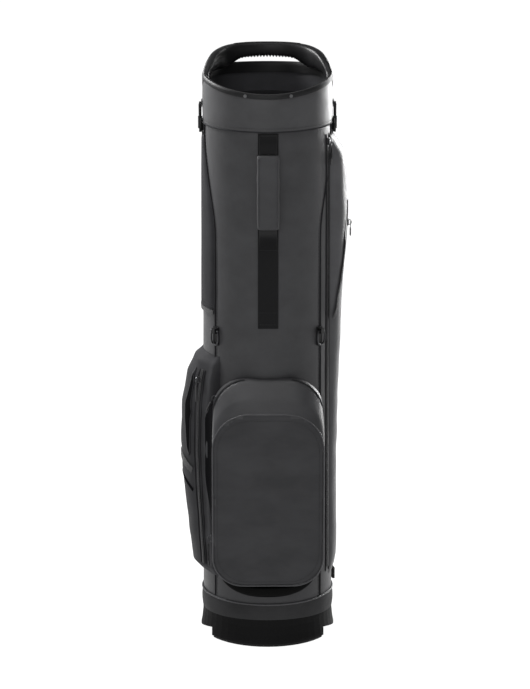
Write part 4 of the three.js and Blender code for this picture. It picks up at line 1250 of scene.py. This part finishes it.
@dataclass
class SidePocket:
    """A pocket on the bag's flank, lofted from a plan that swells with its skyline."""

    shape: BagShape
    name: str
    side: int
    finish: Finish
    skyline: tuple[tuple[float, float], ...]
    plan: tuple[tuple[float, float], ...]
    rows: int = 110
    fullness: float = 0.0008

    def reach(self, z: float) -> float:
        """How far out the pocket stands at a height, on a smooth skyline."""
        line = self.skyline
        if z <= line[0][1]:
            return line[0][0]
        for (x0, z0), (x1, z1) in zip(line, line[1:]):
            if z <= z1:
                return lerp(x0, x1, smooth((z - z0) / (z1 - z0)) * 0.35 + (z - z0) / (z1 - z0) * 0.65)
        return line[-1][0]

    def row(self, z: float) -> list[Vector]:
        """The pocket's plan at a height, front to back."""
        base = self.shape.radius(z)
        swell = (self.reach(z) - base) / mm(30)
        points = []
        for angle, out in self.plan:
            points.append(self.shape.on(angle, z, mm(0.3) + out * swell * mm(30)))
        made = curve_through(points, mm(2.2))
        return made

    def point(self, angle: float, z: float, lift: float = 0.0) -> Vector:
        """A point on the pocket's face at an angle and height."""
        row = self.row(z)
        best = min(row, key=lambda p: abs(math.degrees(math.atan2(p.y, p.x)) - angle))
        out = Vector((best.x, best.y, 0)).normalized()
        return best + out * lift

    def build(self, *nodes: str) -> bpy.types.Object:
        """Makes the pocket's cloth.

        Args:
            nodes: the CAD nodes that it stands for.

        Returns:
            The pocket.
        """
        low, high = self.skyline[0][1], self.skyline[-1][1]
        count = len(self.row((low + high) / 2))
        rings = []
        for i in range(self.rows + 1):
            z = lerp(low, high, i / self.rows)
            line = self.even(self.row(z), count)
            ends = math.sqrt(min(1.0, min(i, self.rows - i) / 4))
            ring = []
            for k, p in enumerate(line):
                out = Vector((p.x, p.y, 0))
                shell = self.shape.radius(z) + mm(0.3)
                depth = (out.length - shell) * ends
                depth += crease(p, 0.03, self.fullness) * min(1.0, depth / mm(4))
                ring.append(out.normalized() * (shell + max(depth, 0)) + Vector((0, 0, z)))
            back = [Vector((p.x, p.y, 0)).normalized() * (self.shape.radius(z) + mm(0.25))
                    + Vector((0, 0, z)) for p in reversed(ring[1:-1])]
            rings.append(ring + back)
        if self.side < 0:
            rings = [[Vector((-p.x, p.y, p.z)) for p in ring] for ring in rings]
        skin = Skin()
        skin.loft(rings)
        pocket = skin.made(f"{self.name}_cloth", self.finish, sharp=60)
        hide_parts(*nodes)
        return pocket

    @staticmethod
    def even(line: Sequence[Vector], count: int) -> list[Vector]:
        """The same line as a set number of evenly spaced points."""
        lengths = [0.0]
        for a, b in zip(line, line[1:]):
            lengths.append(lengths[-1] + (b - a).length)
        made, k = [], 0
        for i in range(count):
            want = lengths[-1] * i / (count - 1)
            while k < len(line) - 2 and lengths[k + 1] < want:
                k += 1
            span = lengths[k + 1] - lengths[k] or 1.0
            made.append(line[k].lerp(line[k + 1], (want - lengths[k]) / span))
        return made


def mirrored(points: Iterable[Vector], side: int) -> list[Vector]:
    """The points, flipped across the bag for the left side."""
    return [Vector((p.x * (1 if side > 0 else -1), p.y, p.z)) for p in points]


@dataclass
class ApparelPocket:
    """The long pocket on the right, its front zip and the slanted valuables zip."""

    shape: BagShape

    def build(self) -> None:
        """Makes the pocket, both zips and the welts."""
        low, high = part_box("apparel_pocket")
        bulge = high.x
        # The pocket's lighter cloth is painted light for its brightly lit side.
        pocket = SidePocket(
            self.shape, "apparel_pocket", 1, APPAREL_CLOTH_PAINTED_LIGHT,
            skyline=((mm(100), low.z), (mm(104), low.z + mm(10)), (mm(105), mm(160)),
                     (mm(103.5), mm(260)), (mm(105.5), mm(360)), (mm(110.5), mm(510)),
                     (bulge - mm(2), mm(600)), (bulge, mm(660)), (mm(114.5), mm(733)),
                     (mm(103), high.z - mm(2))),
            plan=((-17.5, 0), (-15.5, 0.5), (-9, 0.86), (2, 1.0), (15, 1.02), (26, 0.8),
                  (36, 0.42), (43, 0)))
        pocket.build("apparel_pocket")
        top, foot = high.z - mm(4), low.z + mm(14)
        front = [self.shape.on(-22.5, lerp(top, foot, k / 120), mm(0.4)) for k in range(121)]
        zip_run("apparel_zip", front, radial(front), tape=mm(9))
        for number, angle in enumerate((-26.2, -19.2)):
            line = [self.shape.on(angle, lerp(top + mm(6), foot - mm(6), k / 80), mm(0.3))
                    for k in range(81)]
            skin = Skin()
            skin.loft(sweep(line, disc(mm(0.9), 8), radial(line)))
            skin.made(f"apparel_welt_{number}", SEAM_CLOTH)
        slant = []
        for k in range(41):
            t = k / 40
            z = lerp(mm(664), mm(492), t)
            angle = lerp(5, -16, t ** 0.85)
            slant.append(pocket.point(angle, z, mm(0.8)))
        slant = curve_through(slant[::4], mm(4))
        zip_run("valuables_zip", slant, radial(slant), tape=mm(12))
        for name in ("apparel", "valuables"):
            Puller(name, corded=name == "apparel").build()


@dataclass
class LeftPockets:
    """The accessory pocket and the pouch outside it, with its crescent mouth."""

    shape: BagShape
    mouth: tuple[float, float] = (0.284, 0.419)

    def build(self) -> None:
        """Makes the pocket, the pouch, the zip, the mouth and the two straps."""
        low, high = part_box("left_pocket")
        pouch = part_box("bottle_pouch")
        reach = -pouch[0].x
        edge = ((mm(108), low.z), (mm(113), mm(114)), (mm(119), mm(170)), (mm(126), mm(232)),
                (reach, mm(296)), (mm(128), mm(360)), (mm(120), mm(405)), (mm(110), mm(429)),
                (mm(99), high.z))
        plan = ((-42.5, 0), (-39.5, 0.52), (-33, 0.5), (-26, 0.6), (-16, 0.86), (-4, 1.0),
                (10, 1.0), (22, 0.84), (33, 0.5), (40, 0))
        pocket = SidePocket(self.shape, "left_pocket", -1, POCKET_CLOTH, edge, plan,
                            fullness=0.0011)
        pocket.build("left_pocket", "bottle_pouch")
        self.zip(pocket, low.z, high.z)
        self.crescent(pocket)
        self.straps(pocket)
        self.fold()
        Puller("left_pocket").build()

    def line(self, pocket: SidePocket, angles: Profile, lift: float) -> list[Vector]:
        """A line on the pocket through (angle, height) points."""
        points = [pocket.point(angle, z, lift) for angle, z in angles]
        return mirrored(curve_through(points, mm(3)), -1)

    def zip(self, pocket: SidePocket, low: float, high: float) -> None:
        """The straight zip up the pocket's front corner, between two welts."""
        span = [lerp(low + mm(16), high - mm(24), k / 24) for k in range(25)]
        path = self.line(pocket, [(-26.2, z) for z in span], mm(0.4))
        zip_run("left_pocket_zip", path, radial(path), tape=mm(8))
        for number, angle in enumerate((-29.5, -23.4)):
            path = self.line(pocket, [(angle, z) for z in span], mm(0.2))
            skin = Skin()
            skin.loft(sweep(path, disc(mm(0.9), 8), radial(path)))
            skin.made(f"left_pocket_welt_{number}", SEAM_CLOTH)

    def crescent(self, pocket: SidePocket) -> None:
        """The pouch's mouth: a crescent of painted shade, a near-black sheet, with bound lips."""
        bottom, top = self.mouth
        count = 36
        front, back = [], []
        for k in range(count + 1):
            t = k / count
            z = lerp(bottom, top, t)
            open_by = math.sin(math.pi * t) ** 0.75
            front.append((-18.5 - 1.2 * open_by, z))
            back.append((-18.5 + 6.2 * open_by, z))
        lips = [self.line(pocket, side[::3], mm(0.5)) for side in (front, back)]
        for number, lip in enumerate(lips):
            skin = Skin()
            skin.loft(sweep(lip, disc(mm(1.2), 8), radial(lip)))
            # The back lip wears the pale piping cloth as a painted highlight.
            skin.made(f"pouch_lip_{number}", PIPING_PAINTED_HIGHLIGHT if number else PANEL_CLOTH)
        # The near-black sheet across the mouth is painted shade for the opening.
        rings = []
        for (near, z), (far, _) in zip(front[1:-1], back[1:-1]):
            ring = [pocket.point(lerp(near, far, i / 6), z, mm(0.9)) for i in range(7)]
            ring += [pocket.point(lerp(near, far, i / 6), z, -mm(0.6)) for i in range(6, -1, -1)]
            rings.append(mirrored(ring, -1))
        skin = Skin()
        skin.loft(rings)
        skin.made("pouch_mouth_painted_shade", GUSSET_PAINTED_SHADE)

    def straps(self, pocket: SidePocket) -> None:
        """Two slanted bands below the mouth: a grey elastic band, and a narrow near-black band that
        is painted shade for a dark slit.
        """
        for number, (z, wide) in enumerate(((0.268, 14.0), (0.238, 5.0))):
            angles = [(-20.5, z - mm(8)), (-14, z), (-8, z + mm(7)), (0, z + mm(12))]
            path = self.line(pocket, angles, mm(0.3))
            skin = Skin()
            skin.loft(sweep(path, slab(mm(wide), mm(0.9)), radial(path)))
            # The narrow band wears the near-black cloth as painted shade for a slit.
            skin.made(f"pouch_band_{number}", GUSSET_PAINTED_SHADE if number else STRAP_GREY)

    def fold(self) -> None:
        """The gusset fold between the ball pocket and the accessory pocket: black gusset cloth
        darkened further as painted shade in the gap.
        """
        ball_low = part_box("ball_pocket")[0]
        x = ball_low.x - mm(0.5)
        rings = []
        for k in range(33):
            t = k / 32
            z = lerp(mm(180), mm(374), t)
            open_by = smooth(t / 0.45) * (1 - smooth((t - 0.86) / 0.14) * 0.8)
            back = Vector((x - mm(9.5) * open_by - mm(0.6), -mm(66) - mm(6) * (1 - open_by), z))
            front = Vector((x, -mm(94), z))
            middle = back.lerp(front, 0.5) + Vector((mm(2.4) * open_by, mm(1.5), 0))
            ring = curve_through([back, middle, front], mm(4))
            ring = SidePocket.even(ring, 9)
            rings.append(ring + [p + Vector((mm(0.3), mm(1.2), 0)) for p in reversed(ring)])
        # A near-black sheet, painted shade in the gap between the two pockets.
        skin = Skin()
        skin.loft(rings)
        skin.made("ball_gusset_fold_painted_shade", GUSSET_PAINTED_SHADE)


# ---------------------------------------------------------------- spine and handles


@dataclass
class Spine:
    """The carry webbing up the front, its arched grip strap and the padded sleeve."""

    shape: BagShape

    def build(self) -> None:
        """Makes the webbing, the strap, the sleeve and their stitching."""
        self.webbing()
        self.strap()
        self.sleeve()
        self.crescent()

    def webbing(self) -> None:
        """The flat webbing stitched to the shell."""
        low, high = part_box("spine_webbing")
        width = high.x - low.x
        path = [self.shape.on(-90, lerp(low.z, high.z, k / 60), mm(0.2)) for k in range(61)]
        skin = Skin()
        skin.loft(sweep(path, slab(width, mm(1.6)), radial(path)))
        piece = skin.made("spine_webbing_band", STRAP)
        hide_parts("spine_webbing")
        for number, z in enumerate((low.z + mm(6), low.z + mm(24), mm(630), mm(612))):
            row = [Vector((x * width * 0.42, -self.shape.radius(z) - mm(1.9), z))
                   for x in (-1, 0, 1)]
            stitches(f"webbing_tack_{number}", curve_through(row, mm(3)),
                     lambda k: Vector((0, -1, 0)))

    def strap(self) -> None:
        """The strap that arches out from the shell through the sleeve."""
        low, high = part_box("grip_strap")
        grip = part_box("spine_grip")
        away = -(grip[0].y + grip[1].y) / 2
        on = self.shape
        stops = ((low.z, -1), (low.z + mm(14), -1), (grip[0].z - mm(6), 0.55),
                 (grip[0].z + mm(4), 1), (grip[1].z - mm(4), 1), (grip[1].z + mm(6), 0.55),
                 (high.z - mm(12), -1), (high.z, -1))
        points = []
        for z, out in stops:
            near = on.radius(z) + mm(2.0)
            points.append(Vector((0, -lerp(near, away, max(out, 0)), z)))
        path = curve_through(points, mm(2.5))
        skin = Skin()
        skin.loft(sweep(path, slab(high.x - low.x, mm(2.0)), lambda k: Vector((0, -1, 0))))
        piece = skin.made("grip_strap_band", STRAP)
        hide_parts("grip_strap")

    def sleeve(self) -> None:
        """The padded sleeve: a soft block with a wrapped seam and crowned face."""
        low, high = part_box("spine_grip")
        half, deep = (high.x - low.x) / 2, (high.y - low.y) / 2
        middle_y, rows = (low.y + high.y) / 2, 44
        rings = []
        for i in range(rows + 1):
            t = i / rows
            z = lerp(low.z - mm(6), high.z + mm(6), t)
            ends = max(0.0, 1 - abs(2 * t - 1) ** 14) ** 0.5
            ring = []
            for k in range(28):
                a = 2 * math.pi * k / 28
                c, s = math.cos(a), math.sin(a)
                x = math.copysign(abs(c) ** 0.42, c) * half * (0.93 + 0.07 * ends)
                y = math.copysign(abs(s) ** 0.5, s) * deep * (0.72 + 0.28 * ends)
                p = Vector((x, middle_y + y, z))
                p += Vector((c, s, 0)) * crease(p, 0.02, mm(0.7))
                ring.append(p)
            rings.append(ring)
        skin = Skin()
        skin.loft(rings)
        piece = skin.made("spine_grip_sleeve", GRIP_CLOTH)
        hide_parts("spine_grip")
        Filling(voxel=0.003, cap=0.001).puff(
            piece, lambda p: abs(p.x) > half * 0.7 or not low.z < p.z < high.z)
        for number, x in enumerate((-0.8, 0.8)):
            row = [Vector((half * x, low.y - mm(0.1), lerp(low.z, high.z, k / 30)))
                   for k in range(31)]
            stitches(f"grip_stitches_{number}", row, lambda k: Vector((0, -1, 0)))

    def crescent(self) -> None:
        """The moulded crescent handle under the ball pocket and a near-black patch of painted shade
        on the shell behind it.
        """
        low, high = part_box("lower_handle")
        half = high.x - mm(3)
        rings = []
        path = []
        for k in range(61):
            t = 2 * k / 60 - 1
            x = half * t
            z = high.z - mm(5) - (high.z - low.z - mm(14)) * (1 - t ** 4)
            y = -self.shape.radius(z) * math.sqrt(max(0.0, 1 - (x / self.shape.radius(z)) ** 2))
            path.append(Vector((x, y - mm(1.5) - mm(10) * (1 - t ** 4), z)))
        count = len(path)
        for k, p in enumerate(path):
            t = abs(2 * k / (count - 1) - 1)
            tall, thick = mm(6.8) * (1 - 0.35 * t ** 4), mm(3.4)
            along = (path[min(k + 1, count - 1)] - path[max(k - 1, 0)]).normalized()
            out = Vector((p.x * 0.5, p.y, 0)).normalized()
            up = out.cross(along).normalized()
            rings.append([p + up * tall * math.copysign(abs(math.sin(a)) ** 0.6, math.sin(a))
                          + out * thick * math.copysign(abs(math.cos(a)) ** 0.6, math.cos(a))
                          for a in (2 * math.pi * i / 16 for i in range(16))])
        skin = Skin()
        skin.loft(rings)
        piece = skin.made("lower_handle_grip", DULL_MOULDING)
        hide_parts("lower_handle")
        # A near-black patch on the shell behind the handle, painted shade under the ball pocket.
        rings = []
        for k in range(41):
            t = 2 * k / 40 - 1
            a = -90 + t * 41
            tall = mm(10) * (1 - t * t) ** 0.5 + mm(1)
            middle = high.z - mm(6) - (high.z - low.z - mm(14)) * (1 - t ** 4)
            face = [self.shape.on(a, middle + tall * v, mm(0.9)) for v in (-1, -0.5, 0, 0.5, 1)]
            rings.append(face + [self.shape.on(a, middle + tall * v, mm(0.1))
                                 for v in (1, 0.5, 0, -0.5, -1)])
        skin = Skin()
        skin.loft(rings)
        skin.made("lower_handle_painted_shade", GUSSET_PAINTED_SHADE)


# ---------------------------------------------------------------- base


@dataclass
class Base:
    """The rubber tub with its stepped sole and tread, and the hinged foot flap."""

    shape: BagShape

    def build(self) -> None:
        """Dresses the tub and the flap and adds the flap's tread bars."""
        dress("base_tub", SOLE, 30)
        dress("foot_flap", SOLE, 30)
        dress("flap_pin", STEEL, 30)
        self.tread()

    def tread(self) -> None:
        """Shallow bars across the flap's top, which the lugs of the tub fit between."""
        low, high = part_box("foot_flap")
        bars = Skin()
        for k in range(5):
            y = lerp(mm(34), mm(86), k / 4)
            half = min(mm(62), math.sqrt(mm(94) ** 2 - y * y))
            path = [Vector((lerp(-half, half, i / 20), y, high.z - mm(0.1))) for i in range(21)]
            bars.loft(sweep(path, slab(mm(3), mm(0.45)), lambda k: Vector((0, 0, 1))))
        bars.made("flap_tread_bars", SOLE, "foot_flap")


def dress(node: str, finish: Finish, sharp: float = 30.0) -> None:
    """Gives a CAD node its finish, with smooth shading between its sharp edges."""
    shown = frame["nodes"][node]
    shown.data.materials.clear()
    shown.data.materials.append(finish.material())
    shown.data.polygons.foreach_set("use_smooth", [True] * len(shown.data.polygons))
    shown.data.set_sharp_from_angle(angle=math.radians(sharp))


# ---------------------------------------------------------------- stand and strap hardware


@dataclass
class Stand:
    """The leg housing, legs, push rods and springs."""

    def build(self) -> None:
        """Dresses the mechanism and rounds off its visible parts."""
        dress("leg_housing", MOULDING, 32)
        for side, s in SIDES:
            for node in (f"leg_pin_{side}", f"leg_spring_{side}", f"push_rod_{side}"):
                dress(node, STEEL, 40)
            dress(f"leg_hub_{side}", MOULDING, 32)
            dress(f"leg_clip_{side}", MOULDING, 32)
            self.tube(side)
            self.foot(side)

    def axis(self, node: str) -> tuple[float, float, float, float]:
        """A leg piece's axis x and y, and its lowest and highest points."""
        low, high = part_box(node)
        return (low.x + high.x) / 2, (low.y + high.y) / 2, low.z, high.z

    def tube(self, side: str) -> None:
        """A drawn tube with a rolled upper end and two trim bands."""
        node, body = f"leg_tube_{side}", f"leg_{side}"
        x, y, low, high = self.axis(node)
        r = (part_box(node)[1].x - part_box(node)[0].x) / 2
        place = Matrix.Translation((x, y, 0))
        piece = spin(f"leg_tube_wall_{side}", [
            (r, low), (r, high - mm(0.8)), (r - mm(0.6), high), (r - mm(1.1), high - mm(0.4)),
            (r - mm(1.1), low)], ANODISED, body, 40, place)
        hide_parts(node)
        for number, z in enumerate((low + mm(60), low + mm(66))):
            spin(f"leg_band_{side}_{number}", [
                (r, z), (r + mm(0.5), z + mm(0.5)), (r + mm(0.5), z + mm(2)), (r, z + mm(2.5)),
                (r - mm(0.2), z + mm(1.2))], MOULDING, body, 40, place)

    def foot(self, side: str) -> None:
        """A ribbed rubber foot with a domed tip."""
        node, body = f"leg_foot_{side}", f"leg_{side}"
        x, y, low, high = self.axis(node)
        r = (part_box(node)[1].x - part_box(node)[0].x) / 2
        profile = [(mm(0.2), low), (r * 0.45, low + mm(0.2)), (r * 0.8, low + mm(1.6)),
                   (r, low + mm(4.5))]
        for k in range(5):
            z = low + mm(7 + 3.6 * k)
            profile += [(r, z), (r - mm(0.9), z + mm(0.6)), (r - mm(0.9), z + mm(1.4)),
                        (r, z + mm(2))]
        profile += [(r, high - mm(6)), (r * 0.86, high - mm(0.6)), (r * 0.8, high),
                    (mm(6.9), high), (mm(6.9), low + mm(7)), (mm(0.2), low + mm(7))]
        piece = spin(f"leg_foot_boot_{side}", profile, FOOT, body, 40,
                     Matrix.Translation((x, y, 0)))
        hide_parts(node)


@dataclass
class Hardware:
    """Strap fittings, rim screws, stays and the leg lock."""

    shape: BagShape

    def build(self) -> None:
        """Dresses every small fitting."""
        for side, s in SIDES:
            dress(f"strap_staple_{side}", BLACK_METAL, 40)
            self.keeper(side, s)
            dress(f"strap_swivel_{side}", MOULDING, 40)
            dress(f"lower_anchor_{side}", MOULDING, 40)
            dress(f"lower_ring_{side}", ZIP_METAL, 50)
            dress(f"rim_screw_{side}", SCREW, 40)
            dress(f"stay_{side}", FIBRE, 50)
        dress("leg_lock_buckle", MOULDING, 40)
        dress("leg_lock_strap", STRAP, 40)
        dress("divider_webs", LINING, 40)

    def keeper(self, side: str, s: int) -> None:
        """The webbing tabs that hold a staple's two ends, with the staple's moulded sleeve."""
        low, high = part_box(f"strap_staple_{side}")
        x = s * self.shape.collar_radius + s * mm(3.4)
        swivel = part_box(f"strap_swivel_{side}")
        top = swivel[1].z + mm(0.6)
        spin(f"staple_sleeve_{side}", [
            (mm(1.65), top), (mm(2.2), top + mm(0.4)), (mm(2.3), high.z - mm(5)),
            (mm(1.9), high.z - mm(3.6)), (mm(1.65), high.z - mm(3.6))], MOULDING,
            sides=24, place=Matrix.Translation((x, 0, 0)))
        for name, z, base in (("upper", high.z - mm(2), self.shape.collar_radius),
                              ("lower", low.z + mm(2), self.shape.radius(low.z))):
            path = [Vector((s * (base + mm(0.5)), mm(lerp(-9, 9, k / 12)), z - mm(0.4)))
                    for k in range(13)]
            path = [Vector((s * math.sqrt(max(0.0, (base + mm(0.5)) ** 2 - p.y ** 2)), p.y, p.z))
                    for p in path]
            skin = Skin()
            skin.loft(sweep(path, slab(mm(9), mm(1.3)), radial(path)))
            skin.made(f"staple_tab_{side}_{name}", STRAP)
        foot = swivel[0].z - mm(1.5)
        spin(f"staple_knuckle_{side}", [
            (mm(1.0), foot), (mm(3.5), foot + mm(0.8)), (mm(4.2), foot + mm(4)),
            (mm(4.1), foot + mm(13)), (mm(3.0), foot + mm(17.5)), (mm(0.8), foot + mm(18.5))],
            DULL_MOULDING, sides=24, place=Matrix.Translation((x - s * mm(3.9), -mm(7), 0)))


# ---------------------------------------------------------------- studio


@dataclass
class Studio:
    """A pale floor, soft side lights and the camera."""

    focus: Vector = field(default_factory=lambda: Vector((mm(-3.7), 0, mm(445))))
    elevation: float = 14.5
    azimuth: float = 0.5
    distance: float = 5.0
    lens: float = 174.2

    def build(self) -> None:
        """Sets up the camera, the floor, the lights and the sky."""
        self.camera()
        self.floor()
        self.light("left_soft_box", (-1.8, 1.5, 1.7), (0.7, 1.0), 26)
        self.light("left_high_box", (-0.55, 0.3, 1.15), (0.15, 0.3), 11)
        self.light("right_soft_box", (1.55, 1.95, 1.1), (0.8, 1.8), 110)
        self.light("front_fill", (-0.6, -3.8, 1.9), (2.2, 1.6), 44)
        self.light("top_soft_box", (0.0, -0.8, 3.0), (2.0, 2.0), 34)
        self.sky()

    def camera(self) -> None:
        """A long lens, looking slightly down at the bag."""
        up, turn = math.radians(self.elevation), math.radians(self.azimuth)
        away = Vector((-math.sin(turn) * math.cos(up), -math.cos(turn) * math.cos(up),
                       math.sin(up)))
        data = bpy.data.cameras.new("studio_camera")
        data.lens, data.sensor_width, data.clip_end = self.lens, 36.0, 50.0
        made = bpy.data.objects.new("studio_camera", data)
        made.location = self.focus + away * self.distance
        made.rotation_euler = (-away).to_track_quat("-Z", "Y").to_euler()
        bpy.context.scene.collection.objects.link(made)
        bpy.context.scene.camera = made

    def floor(self) -> None:
        """A wide, bright, matt floor."""
        size = 30.0
        mesh = bpy.data.meshes.new("floor")
        mesh.from_pydata([(-size, -size, 0), (size, -size, 0), (size, size, 0), (-size, size, 0)],
                         [], [(0, 1, 2, 3)])
        made = bpy.data.objects.new("floor", mesh)
        bpy.context.scene.collection.objects.link(made)
        paint = Canvas("floor_paint")
        paint.shader.inputs["Base Color"].default_value = (0.12, 0.12, 0.12, 1)
        paint.shader.inputs["Roughness"].default_value = 0.9
        paint.shader.inputs["Specular IOR Level"].default_value = 0.0
        paint.shader.inputs["Emission Color"].default_value = (1, 1, 1, 1)
        paint.shader.inputs["Emission Strength"].default_value = 1.0
        mesh.materials.append(paint.material)

    def light(self, name: str, place: Sequence[float], size: Sequence[float], power: float) -> None:
        """A rectangular soft light aimed at the bag's middle."""
        data = bpy.data.lights.new(name, "AREA")
        data.shape, data.size, data.size_y, data.energy = "RECTANGLE", size[0], size[1], power
        made = bpy.data.objects.new(name, data)
        made.location = place
        aim = Vector((0, 0, 0.45)) - Vector(place)
        made.rotation_euler = aim.to_track_quat("-Z", "Y").to_euler()
        bpy.context.scene.collection.objects.link(made)

    def sky(self) -> None:
        """Even, dim light from all round."""
        world = bpy.data.worlds.new("studio_sky")
        world.use_nodes = True
        world.node_tree.nodes["Background"].inputs["Color"].default_value = (1, 1, 1, 1)
        world.node_tree.nodes["Background"].inputs["Strength"].default_value = 0.22
        bpy.context.scene.world = world
        bpy.context.scene.view_settings.view_transform = "Standard"


def main() -> None:
    """Builds the studio, then every sub-assembly."""
    logging.basicConfig(level=logging.INFO, format="%(name)s: %(message)s")
    shape = BagShape()
    Studio().build()
    Shell(shape).build()
    Top(shape).build()
    Spine(shape).build()
    BallPocket(shape).build()
    ApparelPocket(shape).build()
    LeftPockets(shape).build()
    for name in ("ball_lower", "ball_upper"):
        Puller(name, corded=name == "ball_lower").build()
    Base(shape).build()
    Stand().build()
    Hardware(shape).build()


if __name__ == "__main__":
    main()
